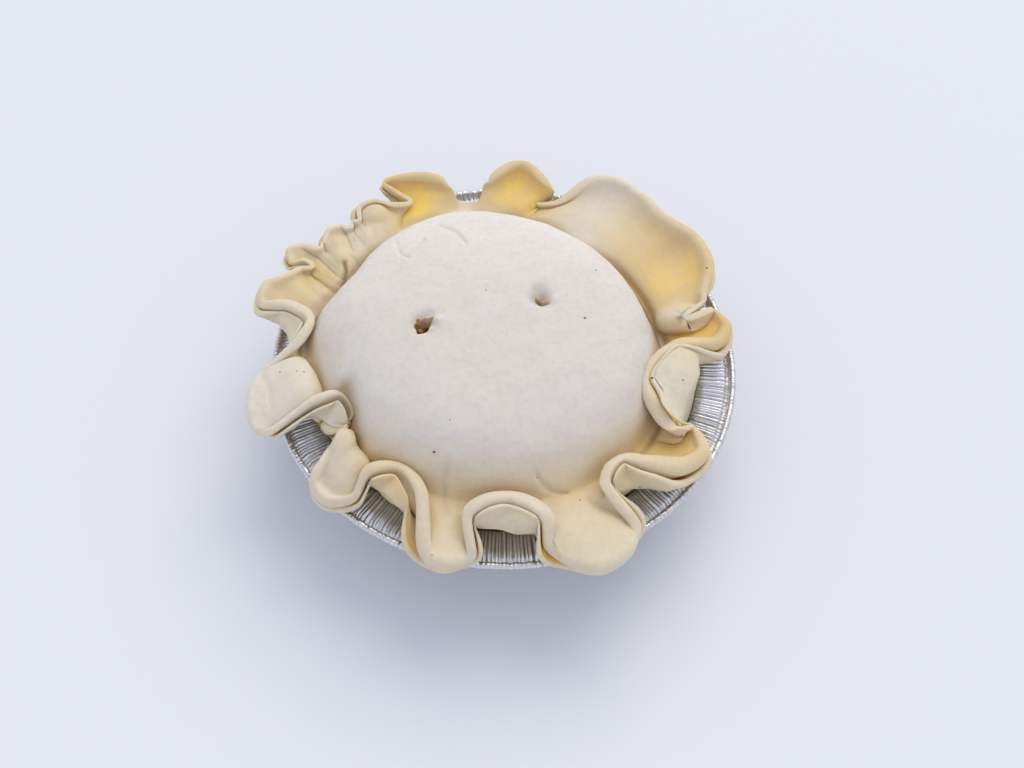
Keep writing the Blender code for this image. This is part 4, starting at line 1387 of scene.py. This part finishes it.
def position(tree):
    """The place of each point in the piece's own coordinates."""
    return add(tree, "ShaderNodeTexCoord").outputs["Object"]


def bumps(tree, height, kind, **more):
    """The normals of a bumpy surface, for a height and a kind, given as strength and distance."""
    strength, distance = kind
    inputs = {"Height": height, "Strength": strength, "Distance": distance, **more}
    return add(tree, "ShaderNodeBump", inputs).outputs["Normal"]


def set_looks(tree, shader, **looks):
    """Give the shader its looks, each named as its socket with _ for spaces."""
    for key, value in looks.items():
        feed(tree, shader.inputs[key.replace("_", " ")], value)


def dough_material(name):
    """Raw dough: floured in places, grey and patchy where it was handled, yellow in its folds.

    The grey is left off at the back as painted light from behind, the deepest yellow is a painted glow,
    and the dark brown in crevices, gaps and holes is painted shade.
    """
    made, tree, shader = shade(name)
    place = position(tree)
    cloud, blotch = noise(tree, place, CLOUD), noise(tree, place, BLOTCH)
    mottle, grain = noise(tree, place, MOTTLE), noise(tree, place, GRAIN)

    clouded = remap(tree, cloud, *MIDDLE, *CLOUD_FLOUR)
    patchy = maths(tree, "ADD", clouded, remap(tree, blotch, *MIDDLE, *BLOTCH_FLOUR))
    dusted = maths(tree, "ADD", attribute(tree, "flour"), patchy, clamp=True)
    base = mix(tree, PLAIN_DOUGH, FLOURED, dusted)
    # Grey flour, spared at the back of the dome as painted light from behind
    base = mix(tree, base, GREY_FLOUR, attribute(tree, "grey_flour_and_shade"))
    warmth = remap(tree, cloud, *MIDDLE, *CLOUD_YELLOW)
    warmth = maths(tree, "MULTIPLY", attribute(tree, "yellow"), warmth)
    blotched = remap(tree, blotch, *MIDDLE, *BLOTCH_YELLOW)
    warmth = maths(tree, "MULTIPLY", warmth, blotched, clamp=True)
    base = mix(tree, base, YELLOW_DOUGH, remap(tree, warmth, 0, YELLOW_MIDDLE))
    # The deepest yellow, a painted glow of light through thin dough
    base = mix(tree, base, PAINTED_GLOW_YELLOW, remap(tree, warmth, YELLOW_MIDDLE, 1))
    base = mix(tree, base, GREY_FLECK, remap(tree, mottle, *FLECK_RANGE, *FLECKS))
    # Painted shade in crevices, gaps and holes, mixed in as a dark brown
    base = mix(tree, base, PAINTED_CREVICE_SHADE, attribute(tree, "painted_shade"))

    skin = maths(tree, "ADD", mottle, maths(tree, "MULTIPLY", grain, SKIN_GRAIN))
    soft = bumps(tree, blotch, SOFT_BUMPS)
    relief = bumps(tree, skin, SKIN_BUMPS, Normal=soft)
    rough = remap(tree, dusted, 0, 1, *DOUGH_ROUGHNESS)
    set_looks(tree, shader, Base_Color=base, Normal=relief, Roughness=rough, **DOUGH_LIGHT)
    return made


def foil_material():
    """Thin foil with small dents, its pleats painted with dim and bright reflections and with shade in
    the creases.
    """
    made, tree, shader = shade("foil")
    place = position(tree)
    dents = noise(tree, place, FOIL_DENTS)
    clouds = maths(tree, "MULTIPLY", noise(tree, place, FOIL_CLOUDS), FOIL_CLOUDED)
    # Painted shade in the creases between the pleats
    crease_shades = maths(tree, "MULTIPLY", attribute(tree, "crease_shade"), CREASE_SHADE_SHARE)
    # Painted reflections, dim or bright on each side of a pleat
    colour = mix(tree, DIM_PLEAT_REFLECTION, BRIGHT_PLEAT_REFLECTION, attribute(tree, "glint"))
    colour = mix(tree, colour, CLOUDED_FOIL, clouds)
    colour = mix(tree, colour, PAINTED_CREASE_SHADE, crease_shades)
    relief = bumps(tree, dents, FOIL_BUMPS)
    rough = remap(tree, dents, 0, 1, *FOIL_ROUGHNESS)
    set_looks(tree, shader, Base_Color=colour, Normal=relief, Roughness=rough, Metallic=1.0)
    return made


def filling_material():
    """Brown and orange filling, wet, with paler lumps."""
    made, tree, shader = shade("filling")
    place = position(tree)
    inputs = {"Vector": place, "Scale": LUMP_SCALE}
    lumps = add(tree, "ShaderNodeTexVoronoi", inputs).outputs["Distance"]
    sauce = noise(tree, place, SAUCE)
    colour = mix(tree, SAUCE_LIGHT, SAUCE_DARK, sauce)
    colour = mix(tree, colour, SAUCE_LUMPS, maths(tree, "LESS_THAN", lumps, LUMP_LIMIT))
    relief = bumps(tree, maths(tree, "ADD", sauce, lumps), FILLING_BUMPS)
    set_looks(tree, shader, Base_Color=colour, Normal=relief, Roughness=FILLING_ROUGHNESS)
    return made


def speck_material():
    """Dark bran and spice, dull and uneven."""
    made, tree, shader = shade("specks")
    colour = mix(tree, SPECK_DARK, SPECK_LIGHT, noise(tree, position(tree), SPECK_NOISE))
    set_looks(tree, shader, Base_Color=colour, Roughness=SPECK_ROUGHNESS)
    return made


def floor_material():
    """A plain pale table."""
    made, tree, shader = shade("table")
    colour = mix(tree, FLOOR_DARK, FLOOR_LIGHT, noise(tree, position(tree), FLOOR_NOISE))
    looks = {"Roughness": FLOOR_ROUGHNESS, "Specular IOR Level": FLOOR_SHINE}
    set_looks(tree, shader, Base_Color=colour, **looks)
    return made


def build_floor():
    """The table that the pie stands on."""
    bm = bmesh.new()
    bmesh.ops.create_grid(bm, x_segments=2, y_segments=2, size=FLOOR_HALF)
    floor = placed("floor", mesh_of("floor", bm))
    floor.data.materials.append(floor_material())


def build_lights():
    """A pale sky all round, and one large soft light behind and above."""
    world = bpy.data.worlds.new("sky")
    bpy.context.scene.world = world
    world.use_nodes = True
    sky = world.node_tree.nodes["Background"]
    sky.inputs["Color"].default_value = SKY_COLOUR
    sky.inputs["Strength"].default_value = SKY_STRENGTH
    lamp = bpy.data.lights.new("window", "SUN")
    lamp.energy = LAMP_ENERGY
    lamp.angle = math.radians(LAMP_WIDTH)
    lamp.color = LAMP_COLOUR
    window = placed("window", lamp)
    window.rotation_euler = Vector(LAMP_FROM).to_track_quat("Z", "Y").to_euler()


def camera_axes():
    """Right, up and back of the photograph's camera, and its place."""
    rise, roll = math.radians(CAMERA_RISE), math.radians(CAMERA_ROLL)
    back = Vector((0, -math.cos(rise), math.sin(rise)))
    right = Vector((1, 0, 0))
    up = back.cross(right)
    rolled_right = math.cos(roll) * right + math.sin(roll) * up
    rolled_up = math.cos(roll) * up - math.sin(roll) * right
    return rolled_right, rolled_up, back, Vector(CAMERA_AIM) + back * CAMERA_DISTANCE


def build_camera():
    """The camera at the photograph's angle."""
    lens = bpy.data.cameras.new("camera")
    lens.lens = CAMERA_LENS
    lens.sensor_width = CAMERA_SENSOR
    lens.clip_start = CAMERA_NEAR
    camera = placed("camera", lens)
    right, up, back, place = camera_axes()
    matrix = Matrix((right, up, back)).transposed().to_4x4()
    matrix.translation = place
    camera.matrix_world = matrix
    bpy.context.scene.camera = camera


def sight_line(x, y):
    """The photograph camera's place, and the way from it through a pixel."""
    right, up, back, place = camera_axes()
    focal = CAMERA_LENS / CAMERA_SENSOR * IMAGE_WIDTH
    across, rise = x - IMAGE_WIDTH / 2, IMAGE_HEIGHT / 2 - y
    return place, (right * across + up * rise - back * focal).normalized()


def build_specks(*carriers):
    """Small dark specks, pressed into whatever dough the photograph shows them on."""
    trees = []
    for carrier in carriers:
        bm = bmesh.new()
        bm.from_mesh(carrier.data)
        trees.append(BVHTree.FromBMesh(bm))
        bm.free()
    random = np.random.default_rng(SPECK_SEED)
    bm = bmesh.new()
    for x, y, size in SPECKS:
        start, way = sight_line(x, y)
        found = [tree.ray_cast(start, way) for tree in trees]
        hits = [(distance, spot, normal) for spot, normal, _, distance in found if spot is not None]
        if not hits:
            continue
        _, spot, normal = min(hits, key=lambda hit: hit[0])
        made = ball(bm, SPECK_FINENESS, SPECK_GROWTH * size / 2)
        stretch = (random.uniform(*SPECK_LONG), random.uniform(*SPECK_BROAD), SPECK_FLAT)
        spin = about_z(random.uniform(0, math.pi))
        tilt = normal.to_track_quat("Z", "Y").to_matrix()
        set_down(bm, made, stretch, (spin, tilt), spot)
    specks = placed("specks", mesh_of("specks", bm))
    specks.data.materials.append(speck_material())
    return specks


def dress_lid(edge, bearing, fields):
    """The lid with its steam holes."""
    lid = build_lid(edge, bearing, fields)
    poke_vents(lid)
    lid.data.materials.append(dough_material("lid_dough"))
    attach(lid, BODY)
    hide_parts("lid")
    return lid


def dress_crust(edge, bearing, fields):
    """The lower sheet of dough."""
    crust = build_crust(edge, bearing, fields)
    crust.data.materials.append(dough_material("crust_dough"))
    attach(crust, BODY)
    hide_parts("bottom_crust")
    return crust


def dress_tin():
    """The foil tin."""
    tin = build_tin()
    tin.data.materials.append(foil_material())
    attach(tin, BODY)
    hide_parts("foil_tin")


def dress_filling():
    """The filling keeps its solid, and gets its looks and the lumps in the left steam hole."""
    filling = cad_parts["filling"]
    filling.data.materials.clear()
    filling.data.materials.append(filling_material())
    lumps = build_filling_lumps()
    lumps.data.materials.append(filling.data.materials[0])
    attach(lumps, BODY)


def dress_specks(lid, crust):
    """The specks on both sheets of dough."""
    specks = build_specks(lid, crust)
    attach(specks, BODY)


def main():
    """Dress the part, and stage it as in the photograph."""
    edge = frill_edge(COLUMNS)
    bearing = foot_bearings(edge)
    fields = coarse_fields()
    lid = dress_lid(edge, bearing, fields)
    crust = dress_crust(edge, bearing, fields)
    dress_tin()
    dress_filling()
    dress_specks(lid, crust)
    build_floor()
    build_lights()
    build_camera()
    bpy.context.scene.view_settings.view_transform = "Standard"


main()
